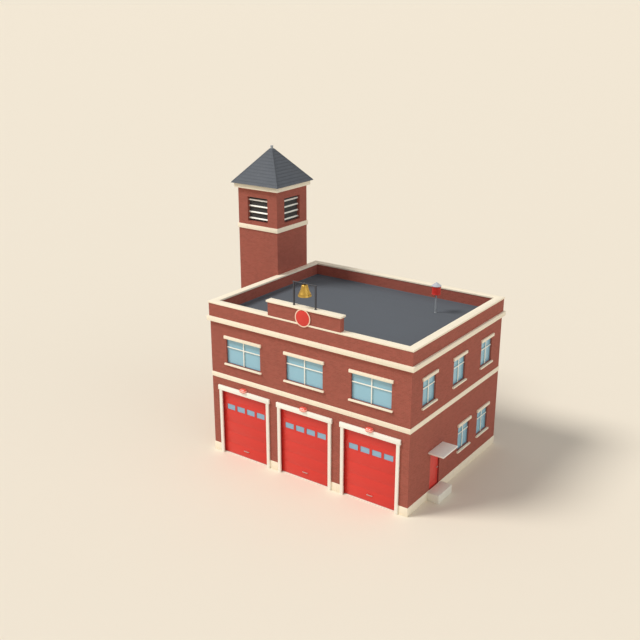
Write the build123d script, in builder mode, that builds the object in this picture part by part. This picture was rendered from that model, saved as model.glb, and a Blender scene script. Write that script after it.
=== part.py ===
"""Two-storey fire station with three appliance bays and a hose tower.

Frame: millimetres, +Z up. The origin is on the ground at the front left corner of the brickwork.
The front faces -Y, the right side faces +X, and the hose tower stands against the left wall.
"""
from build123d import *
import os

os.makedirs("parts", exist_ok=True)

# Main block, its heights stacked from the ground up
WIDTH = 14000
DEPTH = 10900
WALL = 375
PLINTH_HEIGHT = 540
PLINTH_PROUD = 20
LOWER_WALL_HEIGHT = 4486
STRING_HEIGHT = 306
STRING_PROUD = 25
UPPER_WALL_HEIGHT = 3319
CORNICE_HEIGHT = 285
CORNICE_PROUD = 160
PARAPET_HEIGHT = 804
PARAPET_PROUD = 45
COPING_THICK = 105
COPING_OVERHANG = 32

# Floors and roof deck
GROUND_FLOOR_THICK = 35
UPPER_FLOOR_THICK = 300
DECK_THICK = 300
DECK_RISE = 64

# Hose tower against the left wall
TOWER_SIZE = 3200
TOWER_BACK_GAP = 1070
TOWER_WALL = 300
TOWER_RISE = 2792
BELT_HEIGHT = 295
BELT_PROUD = 65
BELFRY_HEIGHT = 2388
TOWER_CORNICE_HEIGHT = 305
TOWER_CORNICE_PROUD = 185
EAVE_OVERHANG = 342
TOWER_ROOF_RISE = 2140
FINIAL_RADIUS = 95
FINIAL_HEIGHT = 195
LOUVRE_WIDTH = 1650
LOUVRE_HEIGHT = 1600
LOUVRE_SILL = 243
SLAT_COUNT = 4
SLAT_WIDTH = 105
SLAT_THICK = 30
SLAT_TILT = 40
SLAT_SETBACK = 150
SLAT_BOTTOM_GAP = 189
SLAT_TOP_GAP = 199

# Appliance bays
BAY_PITCH = 4500
BAY_COUNT = 3
BAY_WIDTH = 3450
BAY_HEIGHT = 4225
JAMB_WIDTH = 195
JAMB_PROUD = 100
HEAD_HEIGHT = 305
HEAD_PROUD = 120
HEAD_OVERRUN = 60
BAY_DOOR_RECESS = 100
BAY_DOOR_THICK = 60
BAY_LIGHT_COUNT = 4
BAY_LIGHT_WIDTH = 610
BAY_LIGHT_PITCH = 770
BAY_LIGHT_BOTTOM = 3010
BAY_LIGHT_HEIGHT = 360
BAY_GLASS_THICK = 20
BAY_HANDLE_LENGTH = 380
BAY_HANDLE_Z = 480
BAY_HANDLE_BAR = 40
BAY_HANDLE_REACH = 80
LAMP_WIDTH = 460
LAMP_HEIGHT = 240
LAMP_DEPTH = 240
LAMP_ROUND = 100
LAMP_OFFSET = 10
LAMP_RISE = 70

# Windows
FRONT_WINDOW_WIDTH = 2600
SIDE_WINDOW_WIDTH = 1430
WINDOW_HEIGHT = 1580
UPPER_SILL_RISE = 788
LOWER_SILL_RISE = 1060
SIDE_WINDOW_PITCH = 3500
LOWER_SIDE_WINDOW_PITCH = 2500
LINTEL_HEIGHT = 180
LINTEL_PROUD = 96
LINTEL_BEARING = 110
SILL_HEIGHT = 95
SILL_PROUD = 116
WINDOW_RECESS = 95
FRAME_DEPTH = 80
FRAME_FACE = 40
GLASS_THICK = 24

# Side door, canopy and step
DOOR_Y = 2970
DOOR_WIDTH = 1100
DOOR_HEIGHT = 2180
DOOR_FRAME_FACE = 50
DOOR_FRAME_DEPTH = 110
DOOR_RECESS = 65
LEAF_THICK = 50
LEAF_GAP = 6
HINGE_RADIUS = 12
HINGE_PIN_RADIUS = 6
HINGE_CLEARANCE = 0.3
KNUCKLE_LENGTH = 60
HINGE_PLATE = 3
HINGE_PLATE_WIDTH = 35
HINGE_MARGIN = 250
HINGE_COUNT = 3
LEVER_HEIGHT = 1080
LEVER_BAR = 24
LEVER_REACH = 60
LEVER_LENGTH = 150
LEVER_BACKSET = 65
CANOPY_WIDTH = 1700
CANOPY_REACH = 970
CANOPY_RISE = 330
CANOPY_THICK = 90
STEP_WIDTH = 1600
STEP_REACH = 760
STEP_DROP = 10

# Sign block with its medallion
SIGN_WIDTH = 5010
SIGN_SETBACK = 25
SIGN_THICK = 350
SIGN_HEIGHT = 810
SIGN_COPING_THICK = 112
SIGN_COPING_OVERHANG = 75
MEDALLION_RADIUS = 460
MEDALLION_RING = 70
MEDALLION_THICK = 30
MEDALLION_RISE = 333
MEDALLION_BOSS = 300

# Bell and its frame
BELL_POST = 80
BELL_POST_PITCH = 1488
BELL_BAR_RISE = 1365
BELL_BAR_RADIUS = 30
BELL_BAR_END = 40
BELL_HEIGHT = 656
BELL_MOUTH_RADIUS = 388
BELL_CROWN_RADIUS = 205
BELL_WAIST = 0.45
BELL_WALL = 30
BELL_DROP = 50
BELL_EYE_WALL = 30
BELL_EYE_WIDTH = 90
BELL_EYE_CLEARANCE = 0.3

# Roof siren
SIREN_FROM_RIGHT = 3110
SIREN_FROM_BACK = 2770
SIREN_POST_RADIUS = 50
SIREN_POST_HEIGHT = 1168
SIREN_FOOT_RADIUS = 75
SIREN_FOOT_THICK = 15
SIREN_DRUM_HEIGHT = 508
SIREN_DRUM_RADIUS = 280
SIREN_CAP_RADIUS = 302
SIREN_CAP_TIP = 12
SIREN_CAP_RISE = 225
SIREN_CAP_RIM = 30

# Levels, each standing on the one before
PLINTH_TOP = PLINTH_HEIGHT
STRING_BOTTOM = PLINTH_TOP + LOWER_WALL_HEIGHT
STRING_TOP = STRING_BOTTOM + STRING_HEIGHT
CORNICE_BOTTOM = STRING_TOP + UPPER_WALL_HEIGHT
CORNICE_TOP = CORNICE_BOTTOM + CORNICE_HEIGHT
DECK_TOP = CORNICE_TOP + DECK_RISE
PARAPET_TOP = CORNICE_TOP + PARAPET_HEIGHT
COPING_TOP = PARAPET_TOP + COPING_THICK
BELT_BOTTOM = COPING_TOP + TOWER_RISE
BELT_TOP = BELT_BOTTOM + BELT_HEIGHT
LOUVRE_BOTTOM = BELT_TOP + LOUVRE_SILL
LOUVRE_TOP = LOUVRE_BOTTOM + LOUVRE_HEIGHT
TOWER_CORNICE_BOTTOM = BELT_TOP + BELFRY_HEIGHT
TOWER_CORNICE_TOP = TOWER_CORNICE_BOTTOM + TOWER_CORNICE_HEIGHT
GROUND_FLOOR_TOP = GROUND_FLOOR_THICK
BAY_TOP = GROUND_FLOOR_TOP + BAY_HEIGHT
DOOR_TOP = PLINTH_TOP + DOOR_HEIGHT
CANOPY_TOP = DOOR_TOP + CANOPY_RISE
STEP_TOP = PLINTH_TOP - STEP_DROP
UPPER_WINDOW_BOTTOM = STRING_TOP + UPPER_SILL_RISE
LOWER_WINDOW_BOTTOM = PLINTH_TOP + LOWER_SILL_RISE

# Places worked out from the sizes above
CENTRE_X = WIDTH / 2
CENTRE_Y = DEPTH / 2
COPING_PROUD = PARAPET_PROUD + COPING_OVERHANG
TOWER_HALF = TOWER_SIZE / 2
TOWER_Y = DEPTH - TOWER_BACK_GAP - TOWER_HALF
SIREN_X = WIDTH - SIREN_FROM_RIGHT
SIREN_Y = DEPTH - SIREN_FROM_BACK
BAY_XS = [CENTRE_X + BAY_PITCH * (i - (BAY_COUNT - 1) / 2) for i in range(BAY_COUNT)]
SIDE_YS = [CENTRE_Y + SIDE_WINDOW_PITCH * step for step in (-1, 0, 1)]
LOWER_SIDE_YS = [SIDE_YS[2] - LOWER_SIDE_WINDOW_PITCH, SIDE_YS[2]]

# Windows of each wall, as places along the wall and a width
UPPER_WINDOWS = {
    "front": [(x, FRONT_WINDOW_WIDTH) for x in BAY_XS],
    "back": [(x, FRONT_WINDOW_WIDTH) for x in BAY_XS],
    "right": [(y, SIDE_WINDOW_WIDTH) for y in SIDE_YS],
    "left": [(y, SIDE_WINDOW_WIDTH) for y in SIDE_YS[:2]],
}
LOWER_WINDOWS = {
    "front": [],
    "back": [(x, SIDE_WINDOW_WIDTH) for x in BAY_XS],
    "right": [(y, SIDE_WINDOW_WIDTH) for y in LOWER_SIDE_YS],
    "left": [(y, SIDE_WINDOW_WIDTH) for y in SIDE_YS[:2]],
}
STOREYS = [(UPPER_WINDOWS, UPPER_WINDOW_BOTTOM), (LOWER_WINDOWS, LOWER_WINDOW_BOTTOM)]
FACES = ["front", "back", "right", "left"]


def save(builder, label):
    """Label a finished piece and write its STEP file."""
    builder.part.label = label
    export_step(builder.part, f"parts/{label}.step")


def block(x0, x1, y0, y1, z0, z1, mode=Mode.ADD):
    """Put a box between two corners into the part being built."""
    with Locations(((x0 + x1) / 2, (y0 + y1) / 2, (z0 + z1) / 2)):
        Box(x1 - x0, y1 - y0, z1 - z0, mode=mode)


def wall_face(face, depth=0):
    """A plane on an outer wall face, or that far inside it, facing out with its y axis up."""
    if face == "front":
        return Plane(origin=(0, depth, 0), x_dir=(1, 0, 0), z_dir=(0, -1, 0))
    if face == "back":
        return Plane(origin=(0, DEPTH - depth, 0), x_dir=(-1, 0, 0), z_dir=(0, 1, 0))
    if face == "right":
        return Plane(origin=(WIDTH - depth, 0, 0), x_dir=(0, 1, 0), z_dir=(1, 0, 0))
    return Plane(origin=(depth, 0, 0), x_dir=(0, -1, 0), z_dir=(-1, 0, 0))


def panel(face, along, width, low, high, mode=Mode.ADD):
    """A rectangle in a sketch on a wall face."""
    local = along if face in ("front", "right") else -along
    with Locations((local, (low + high) / 2)):
        Rectangle(width, high - low, mode=mode)


def window_panels(face, storey, widen, low, high, mode=Mode.ADD):
    """One rectangle for each window of a wall; low and high count from its sill."""
    places, bottom = storey
    for along, width in places[face]:
        panel(face, along, width + 2 * widen, bottom + low, bottom + high, mode)


def at_windows(depth, thick, widen, low, high, rim=0):
    """A slab, or a rim of that width, at every window of the building."""
    for storey in STOREYS:
        for face in FACES:
            if not storey[0][face]:
                continue
            with BuildSketch(wall_face(face, depth)) as outline:
                window_panels(face, storey, widen, low, high)
                if rim:
                    window_panels(face, storey, widen - rim, low + rim, high - rim, Mode.SUBTRACT)
            extrude(outline.sketch, amount=-thick)


def window_holes(face, storey):
    """Cut a storey's windows through one wall."""
    with BuildSketch(wall_face(face)) as holes:
        window_panels(face, storey, 0, 0, WINDOW_HEIGHT)
    extrude(holes.sketch, amount=-WALL, mode=Mode.SUBTRACT)


def band(proud, thick, z0, z1):
    """A band round the building: its outer face stands proud of the wall face."""
    inner = thick - proud
    with BuildSketch(Plane.XY.offset(z0)) as ring:
        with Locations((CENTRE_X, CENTRE_Y)):
            Rectangle(WIDTH + 2 * proud, DEPTH + 2 * proud)
            Rectangle(WIDTH - 2 * inner, DEPTH - 2 * inner, mode=Mode.SUBTRACT)
    extrude(ring.sketch, amount=z1 - z0)


def tower_notch(z0, z1):
    """Cut the hose tower's footprint out of a band."""
    block(-TOWER_SIZE, 0, TOWER_Y - TOWER_HALF, TOWER_Y + TOWER_HALF, z0, z1, Mode.SUBTRACT)


def bay_gaps(z0, z1):
    """Cut the appliance bays through the front wall."""
    for x in BAY_XS:
        block(x - BAY_WIDTH / 2, x + BAY_WIDTH / 2, -WALL, WALL, z0, z1, Mode.SUBTRACT)


def disc(plane, centre, radius, amount, mode=Mode.ADD):
    """A round bar or disc on a plane."""
    with BuildSketch(plane) as outline:
        with Locations(centre):
            Circle(radius)
    extrude(outline.sketch, amount=amount, mode=mode)


# ---- Ground slab and plinth ----
with BuildPart() as floor_slab:
    block(WALL, WIDTH - WALL, WALL, DEPTH - WALL, 0, GROUND_FLOOR_TOP)
    for bay_x in BAY_XS:
        block(bay_x - BAY_WIDTH / 2, bay_x + BAY_WIDTH / 2, 0, WALL, 0, GROUND_FLOOR_TOP)
save(floor_slab, "floor_slab")

with BuildPart() as plinth:
    band(PLINTH_PROUD, WALL + PLINTH_PROUD, 0, PLINTH_TOP)
    bay_gaps(0, PLINTH_TOP)
save(plinth, "plinth")

# ---- Ground storey walls ----
with BuildPart() as front_wall_lower:
    block(0, WIDTH, 0, WALL, PLINTH_TOP, STRING_BOTTOM)
    bay_gaps(PLINTH_TOP, BAY_TOP)
save(front_wall_lower, "front_wall_lower")

with BuildPart() as right_wall_lower:
    block(WIDTH - WALL, WIDTH, WALL, DOOR_Y - DOOR_WIDTH / 2, PLINTH_TOP, STRING_BOTTOM)
    block(WIDTH - WALL, WIDTH, DOOR_Y + DOOR_WIDTH / 2, DEPTH - WALL, PLINTH_TOP, STRING_BOTTOM)
    window_holes("right", STOREYS[1])
save(right_wall_lower, "right_wall_lower")

with BuildPart() as right_wall_over_door:
    half = DOOR_WIDTH / 2
    block(WIDTH - WALL, WIDTH, DOOR_Y - half, DOOR_Y + half, DOOR_TOP, STRING_BOTTOM)
save(right_wall_over_door, "right_wall_over_door")

with BuildPart() as back_wall_lower:
    block(0, WIDTH, DEPTH - WALL, DEPTH, PLINTH_TOP, STRING_BOTTOM)
    window_holes("back", STOREYS[1])
save(back_wall_lower, "back_wall_lower")

with BuildPart() as left_wall_lower:
    block(0, WALL, WALL, DEPTH - WALL, PLINTH_TOP, STRING_BOTTOM)
    window_holes("left", STOREYS[1])
save(left_wall_lower, "left_wall_lower")

with BuildPart() as string_course:
    band(STRING_PROUD, WALL + STRING_PROUD, STRING_BOTTOM, STRING_TOP)
    tower_notch(STRING_BOTTOM, STRING_TOP)
save(string_course, "string_course")

with BuildPart() as upper_floor:
    block(WALL, WIDTH - WALL, WALL, DEPTH - WALL, STRING_TOP - UPPER_FLOOR_THICK, STRING_TOP)
save(upper_floor, "upper_floor")

# ---- Upper storey walls ----
with BuildPart() as front_wall_upper:
    block(0, WIDTH, 0, WALL, STRING_TOP, CORNICE_BOTTOM)
    window_holes("front", STOREYS[0])
save(front_wall_upper, "front_wall_upper")

with BuildPart() as back_wall_upper:
    block(0, WIDTH, DEPTH - WALL, DEPTH, STRING_TOP, CORNICE_BOTTOM)
    window_holes("back", STOREYS[0])
save(back_wall_upper, "back_wall_upper")

with BuildPart() as right_wall_upper:
    block(WIDTH - WALL, WIDTH, WALL, DEPTH - WALL, STRING_TOP, CORNICE_BOTTOM)
    window_holes("right", STOREYS[0])
save(right_wall_upper, "right_wall_upper")

with BuildPart() as left_wall_upper:
    block(0, WALL, WALL, DEPTH - WALL, STRING_TOP, CORNICE_BOTTOM)
    window_holes("left", STOREYS[0])
save(left_wall_upper, "left_wall_upper")

# ---- Cornice, roof deck, parapet and coping ----
with BuildPart() as cornice:
    band(CORNICE_PROUD, WALL + CORNICE_PROUD, CORNICE_BOTTOM, CORNICE_TOP)
    tower_notch(CORNICE_BOTTOM, CORNICE_TOP)
save(cornice, "cornice")

with BuildPart() as roof_deck:
    block(WALL, WIDTH - WALL, WALL, DEPTH - WALL, DECK_TOP - DECK_THICK, DECK_TOP)
save(roof_deck, "roof_deck")

with BuildPart() as parapet:
    band(PARAPET_PROUD, WALL + PARAPET_PROUD, CORNICE_TOP, PARAPET_TOP)
    tower_notch(CORNICE_TOP, PARAPET_TOP)
save(parapet, "parapet")

with BuildPart() as coping:
    band(COPING_PROUD, WALL + COPING_PROUD + COPING_OVERHANG, PARAPET_TOP, COPING_TOP)
    tower_notch(PARAPET_TOP, COPING_TOP)
save(coping, "coping")

# ---- Window dressings, frames and glass ----
with BuildPart() as window_lintels:
    at_windows(0, -LINTEL_PROUD, LINTEL_BEARING, WINDOW_HEIGHT, WINDOW_HEIGHT + LINTEL_HEIGHT)
save(window_lintels, "window_lintels")

with BuildPart() as window_sills:
    at_windows(0, -SILL_PROUD, LINTEL_BEARING, -SILL_HEIGHT, 0)
save(window_sills, "window_sills")

with BuildPart() as window_frames:
    at_windows(WINDOW_RECESS, FRAME_DEPTH, 0, 0, WINDOW_HEIGHT, FRAME_FACE)
save(window_frames, "window_frames")

with BuildPart() as window_glass:
    glass_depth = WINDOW_RECESS + (FRAME_DEPTH - GLASS_THICK) / 2
    at_windows(glass_depth, GLASS_THICK, -FRAME_FACE, FRAME_FACE, WINDOW_HEIGHT - FRAME_FACE)
save(window_glass, "window_glass")


# ---- Appliance bays ----
def bay_panels(width, low, high, mode=Mode.ADD):
    """A rectangle for each appliance bay in a sketch on the front face."""
    for x in BAY_XS:
        panel("front", x, width, low, high, mode)


def bay_lights():
    """The row of lights across each appliance door, in a sketch on the front face."""
    for x in BAY_XS:
        for i in range(BAY_LIGHT_COUNT):
            along = x + BAY_LIGHT_PITCH * (i - (BAY_LIGHT_COUNT - 1) / 2)
            top = BAY_LIGHT_BOTTOM + BAY_LIGHT_HEIGHT
            panel("front", along, BAY_LIGHT_WIDTH, BAY_LIGHT_BOTTOM, top)


with BuildPart() as bay_surrounds:
    with BuildSketch(wall_face("front")):
        bay_panels(BAY_WIDTH + 2 * JAMB_WIDTH, 0, BAY_TOP)
        bay_panels(BAY_WIDTH, 0, BAY_TOP, Mode.SUBTRACT)
    extrude(amount=JAMB_PROUD)
    with BuildSketch(wall_face("front")):
        bay_panels(BAY_WIDTH + 2 * JAMB_WIDTH, 0, PLINTH_TOP)
    extrude(amount=PLINTH_PROUD, mode=Mode.SUBTRACT)
    with BuildSketch(wall_face("front")):
        bay_panels(BAY_WIDTH + 2 * (JAMB_WIDTH + HEAD_OVERRUN), BAY_TOP, BAY_TOP + HEAD_HEIGHT)
    extrude(amount=HEAD_PROUD)
save(bay_surrounds, "bay_surrounds")

with BuildPart() as bay_doors:
    with BuildSketch(wall_face("front", BAY_DOOR_RECESS)):
        bay_panels(BAY_WIDTH, GROUND_FLOOR_TOP, BAY_TOP)
    extrude(amount=-BAY_DOOR_THICK)
    with BuildSketch(wall_face("front", BAY_DOOR_RECESS)):
        bay_lights()
    extrude(amount=-BAY_DOOR_THICK, mode=Mode.SUBTRACT)
save(bay_doors, "bay_doors")

with BuildPart() as bay_door_glass:
    glass_depth = BAY_DOOR_RECESS + (BAY_DOOR_THICK - BAY_GLASS_THICK) / 2
    with BuildSketch(wall_face("front", glass_depth)):
        bay_lights()
    extrude(amount=-BAY_GLASS_THICK)
save(bay_door_glass, "bay_door_glass")

with BuildPart() as bay_door_handles:
    low, high = BAY_HANDLE_Z - BAY_HANDLE_BAR / 2, BAY_HANDLE_Z + BAY_HANDLE_BAR / 2
    with BuildSketch(wall_face("front", BAY_DOOR_RECESS)):
        bay_panels(BAY_HANDLE_LENGTH, low, high)
    extrude(amount=BAY_HANDLE_REACH)
    with BuildSketch(wall_face("front", BAY_DOOR_RECESS)):
        bay_panels(BAY_HANDLE_LENGTH - 2 * BAY_HANDLE_BAR, low, high)
    extrude(amount=BAY_HANDLE_REACH - BAY_HANDLE_BAR, mode=Mode.SUBTRACT)
save(bay_door_handles, "bay_door_handles")

with BuildPart() as bay_lamps:
    with BuildSketch(wall_face("front", -HEAD_PROUD - LAMP_OFFSET)):
        with Locations([(x, BAY_TOP + HEAD_HEIGHT + LAMP_RISE) for x in BAY_XS]):
            SlotOverall(LAMP_WIDTH, LAMP_HEIGHT)
    extrude(amount=LAMP_DEPTH / 2, both=True)
    fillet(bay_lamps.edges().group_by(Axis.Y)[0], LAMP_ROUND)
    block(0, WIDTH, -HEAD_PROUD, WALL, BAY_TOP, BAY_TOP + HEAD_HEIGHT, Mode.SUBTRACT)
save(bay_lamps, "bay_lamps")

# ---- Side door, canopy and step ----
LEAF_WIDTH = DOOR_WIDTH - 2 * (DOOR_FRAME_FACE + LEAF_GAP)
LEAF_LEFT = DOOR_Y - LEAF_WIDTH / 2
LEAF_RIGHT = DOOR_Y + LEAF_WIDTH / 2
LEAF_BOTTOM = PLINTH_TOP + LEAF_GAP
LEAF_TOP = DOOR_TOP - DOOR_FRAME_FACE - LEAF_GAP
LEAF_FRONT = WIDTH - DOOR_RECESS
HINGE_X = LEAF_FRONT + HINGE_RADIUS
HINGE_Y = LEAF_LEFT - LEAF_GAP / 2
HINGE_STEP = (LEAF_TOP - LEAF_BOTTOM - 2 * HINGE_MARGIN) / (HINGE_COUNT - 1)
HINGE_ZS = [LEAF_BOTTOM + HINGE_MARGIN + HINGE_STEP * i for i in range(HINGE_COUNT)]


def knuckle(z, side):
    """A hinge knuckle from a height upward, with its plate on the frame (-1) or leaf (+1)."""
    disc(Plane.XY.offset(z), (HINGE_X, HINGE_Y), HINGE_RADIUS, KNUCKLE_LENGTH)
    y0, y1 = sorted((HINGE_Y, HINGE_Y + side * HINGE_PLATE_WIDTH))
    block(LEAF_FRONT, LEAF_FRONT + HINGE_PLATE, y0, y1, z, z + KNUCKLE_LENGTH)


with BuildPart() as side_door_frame:
    with BuildSketch(wall_face("right", DOOR_RECESS)):
        panel("right", DOOR_Y, DOOR_WIDTH, PLINTH_TOP, DOOR_TOP)
        clear = DOOR_WIDTH - 2 * DOOR_FRAME_FACE
        panel("right", DOOR_Y, clear, PLINTH_TOP, DOOR_TOP - DOOR_FRAME_FACE, Mode.SUBTRACT)
    extrude(amount=-DOOR_FRAME_DEPTH)
    for hinge_z in HINGE_ZS:
        knuckle(hinge_z - KNUCKLE_LENGTH, -1)
        disc(Plane.XY.offset(hinge_z), (HINGE_X, HINGE_Y), HINGE_PIN_RADIUS, KNUCKLE_LENGTH)
save(side_door_frame, "side_door_frame")

with BuildPart() as side_door_leaf:
    block(LEAF_FRONT - LEAF_THICK, LEAF_FRONT, LEAF_LEFT, LEAF_RIGHT, LEAF_BOTTOM, LEAF_TOP)
    for hinge_z in HINGE_ZS:
        seat = hinge_z + HINGE_CLEARANCE
        knuckle(seat, 1)
        bore = HINGE_PIN_RADIUS + HINGE_CLEARANCE
        disc(Plane.XY.offset(seat), (HINGE_X, HINGE_Y), bore, KNUCKLE_LENGTH, Mode.SUBTRACT)
save(side_door_leaf, "side_door_leaf")

with BuildPart() as side_door_handle:
    half = LEVER_BAR / 2
    lever_z = PLINTH_TOP + LEVER_HEIGHT
    lever_y = LEAF_RIGHT - LEVER_BACKSET
    front = LEAF_FRONT + LEVER_REACH
    block(LEAF_FRONT, front, lever_y - half, lever_y + half, lever_z - half, lever_z + half)
    y0 = lever_y - LEVER_LENGTH
    block(front - LEVER_BAR, front, y0, lever_y + half, lever_z - half, lever_z + half)
save(side_door_handle, "side_door_handle")

with BuildPart() as canopy:
    with BuildSketch(wall_face("right")):
        panel("right", DOOR_Y, CANOPY_WIDTH, CANOPY_TOP - CANOPY_THICK, CANOPY_TOP)
    extrude(amount=CANOPY_REACH)
save(canopy, "canopy")

with BuildPart() as step_block:
    with BuildSketch(wall_face("right", -PLINTH_PROUD)):
        panel("right", DOOR_Y, STEP_WIDTH, 0, STEP_TOP)
    extrude(amount=STEP_REACH - PLINTH_PROUD)
save(step_block, "step_block")

# ---- Sign block and medallion ----
SIGN_FRONT = SIGN_SETBACK - COPING_PROUD
SIGN_BACK = SIGN_FRONT + SIGN_THICK
SIGN_Y = SIGN_FRONT + SIGN_THICK / 2
SIGN_TOP = COPING_TOP + SIGN_HEIGHT
SIGN_COPING_TOP = SIGN_TOP + SIGN_COPING_THICK
MEDALLION_BACK = wall_face("front", -COPING_PROUD)
MEDALLION_CENTRE = (CENTRE_X, COPING_TOP + MEDALLION_RISE)

with BuildPart() as sign_block:
    half = SIGN_WIDTH / 2
    block(CENTRE_X - half, CENTRE_X + half, SIGN_FRONT, SIGN_BACK, COPING_TOP, SIGN_TOP)
save(sign_block, "sign_block")

with BuildPart() as sign_coping:
    half = SIGN_WIDTH / 2 + SIGN_COPING_OVERHANG
    front = SIGN_FRONT - SIGN_COPING_OVERHANG
    back = SIGN_BACK + SIGN_COPING_OVERHANG
    block(CENTRE_X - half, CENTRE_X + half, front, back, SIGN_TOP, SIGN_COPING_TOP)
save(sign_coping, "sign_coping")



def room_for_sign_coping():
    """Cut what would reach up into the coping of the sign block."""
    half = SIGN_WIDTH / 2 + SIGN_COPING_OVERHANG
    front = SIGN_FRONT - SIGN_COPING_OVERHANG
    block(
        CENTRE_X - half,
        CENTRE_X + half,
        front,
        SIGN_BACK,
        SIGN_TOP,
        SIGN_COPING_TOP,
        Mode.SUBTRACT,
    )


with BuildPart() as medallion_disc:
    disc(MEDALLION_BACK, MEDALLION_CENTRE, MEDALLION_RADIUS, MEDALLION_THICK)
    disc(MEDALLION_BACK, MEDALLION_CENTRE, MEDALLION_BOSS, -COPING_PROUD - SIGN_FRONT)
    room_for_sign_coping()
save(medallion_disc, "medallion_disc")

with BuildPart() as medallion_ring:
    disc(MEDALLION_BACK, MEDALLION_CENTRE, MEDALLION_RADIUS + MEDALLION_RING, MEDALLION_THICK)
    disc(MEDALLION_BACK, MEDALLION_CENTRE, MEDALLION_RADIUS, MEDALLION_THICK, Mode.SUBTRACT)
    room_for_sign_coping()
save(medallion_ring, "medallion_ring")

# ---- Bell and its frame ----
BELL_BAR_Z = SIGN_COPING_TOP + BELL_BAR_RISE
BELL_TOP = BELL_BAR_Z - BELL_DROP
BELL_BOTTOM = BELL_TOP - BELL_HEIGHT
BELL_AXIS = Axis((CENTRE_X, SIGN_Y, 0), (0, 0, 1))
BELL_PLANE = Plane(origin=(CENTRE_X, SIGN_Y, 0), x_dir=(1, 0, 0), z_dir=(0, -1, 0))


def bell_form(mouth, crown, top, mode=Mode.ADD):
    """A bell as a solid of revolution: flat crown, straight waist and flared lip."""
    waist_radius = crown + (mouth - crown) * BELL_WAIST
    waist_z = BELL_BOTTOM + (top - BELL_BOTTOM) * BELL_WAIST
    with BuildSketch(BELL_PLANE) as section:
        with BuildLine():
            Polyline((mouth, BELL_BOTTOM), (0, BELL_BOTTOM), (0, top), (crown, top))
            Spline((crown, top), (waist_radius, waist_z), (mouth, BELL_BOTTOM))
        make_face()
    revolve(section.sketch, axis=BELL_AXIS, mode=mode)


with BuildPart() as bell_frame:
    half = BELL_POST / 2
    y0, y1 = SIGN_Y - half, SIGN_Y + half
    for side in (-1, 1):
        post_x = CENTRE_X + side * BELL_POST_PITCH / 2
        block(post_x - half, post_x + half, y0, y1, SIGN_COPING_TOP, BELL_BAR_Z)
    bar_half = (BELL_POST_PITCH + BELL_POST) / 2 + BELL_BAR_END
    bar_plane = Plane.YZ.offset(CENTRE_X - bar_half)
    disc(bar_plane, (SIGN_Y, BELL_BAR_Z), BELL_BAR_RADIUS, 2 * bar_half)
save(bell_frame, "bell_frame")

with BuildPart() as bell:
    bell_form(BELL_MOUTH_RADIUS, BELL_CROWN_RADIUS, BELL_TOP)
    eye_plane = Plane.YZ.offset(CENTRE_X - BELL_EYE_WIDTH / 2)
    disc(eye_plane, (SIGN_Y, BELL_BAR_Z), BELL_BAR_RADIUS + BELL_EYE_WALL, BELL_EYE_WIDTH)
    bore = BELL_BAR_RADIUS + BELL_EYE_CLEARANCE
    disc(eye_plane, (SIGN_Y, BELL_BAR_Z), bore, BELL_EYE_WIDTH, Mode.SUBTRACT)
    inner_mouth, inner_crown = BELL_MOUTH_RADIUS - BELL_WALL, BELL_CROWN_RADIUS - BELL_WALL
    bell_form(inner_mouth, inner_crown, BELL_TOP - BELL_WALL, Mode.SUBTRACT)
save(bell, "bell")

# ---- Roof siren ----
SIREN_DRUM_BOTTOM = DECK_TOP + SIREN_POST_HEIGHT
SIREN_DRUM_TOP = SIREN_DRUM_BOTTOM + SIREN_DRUM_HEIGHT
SIREN_CENTRE = (SIREN_X, SIREN_Y)

with BuildPart() as siren_post:
    disc(Plane.XY.offset(DECK_TOP), SIREN_CENTRE, SIREN_FOOT_RADIUS, SIREN_FOOT_THICK)
    disc(Plane.XY.offset(DECK_TOP), SIREN_CENTRE, SIREN_POST_RADIUS, SIREN_POST_HEIGHT)
save(siren_post, "siren_post")

with BuildPart() as siren_drum:
    disc(Plane.XY.offset(SIREN_DRUM_BOTTOM), SIREN_CENTRE, SIREN_DRUM_RADIUS, SIREN_DRUM_HEIGHT)
save(siren_drum, "siren_drum")

with BuildPart() as siren_cap:
    disc(Plane.XY.offset(SIREN_DRUM_TOP), SIREN_CENTRE, SIREN_CAP_RADIUS, SIREN_CAP_RIM)
    with Locations((SIREN_X, SIREN_Y, SIREN_DRUM_TOP + SIREN_CAP_RIM)):
        base = (Align.CENTER, Align.CENTER, Align.MIN)
        Cone(SIREN_CAP_RADIUS, SIREN_CAP_TIP, SIREN_CAP_RISE, align=base)
save(siren_cap, "siren_cap")

# ---- Hose tower ----
TOWER_X = -TOWER_HALF
EAVE_HALF = TOWER_HALF + EAVE_OVERHANG
SLAT_PITCH = (LOUVRE_HEIGHT - SLAT_BOTTOM_GAP - SLAT_TOP_GAP) / (SLAT_COUNT - 1)


def tower_square(half, mode=Mode.ADD):
    """A square on the tower's axis, in a level sketch."""
    with Locations((TOWER_X, TOWER_Y)):
        Rectangle(2 * half, 2 * half, mode=mode)


def tower_tube(proud, z0, z1):
    """A square tube on the tower's axis, its outer face proud of the shaft."""
    with BuildSketch(Plane.XY.offset(z0)) as ring:
        tower_square(TOWER_HALF + proud)
        tower_square(TOWER_HALF - TOWER_WALL, Mode.SUBTRACT)
    extrude(ring.sketch, amount=z1 - z0)


def tower_pyramid(half, tip, rise, mode=Mode.ADD):
    """A four-sided roof form that stands on the tower cornice."""
    with BuildSketch(Plane.XY.offset(TOWER_CORNICE_TOP)) as base:
        tower_square(half)
    with BuildSketch(Plane.XY.offset(TOWER_CORNICE_TOP + rise)) as top:
        tower_square(tip)
    loft([base.sketch, top.sketch], mode=mode)


with BuildPart() as tower_plinth:
    tower_tube(PLINTH_PROUD, 0, PLINTH_TOP)
    block(-PLINTH_PROUD, PLINTH_PROUD, 0, DEPTH, 0, PLINTH_TOP, Mode.SUBTRACT)
save(tower_plinth, "tower_plinth")

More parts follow.
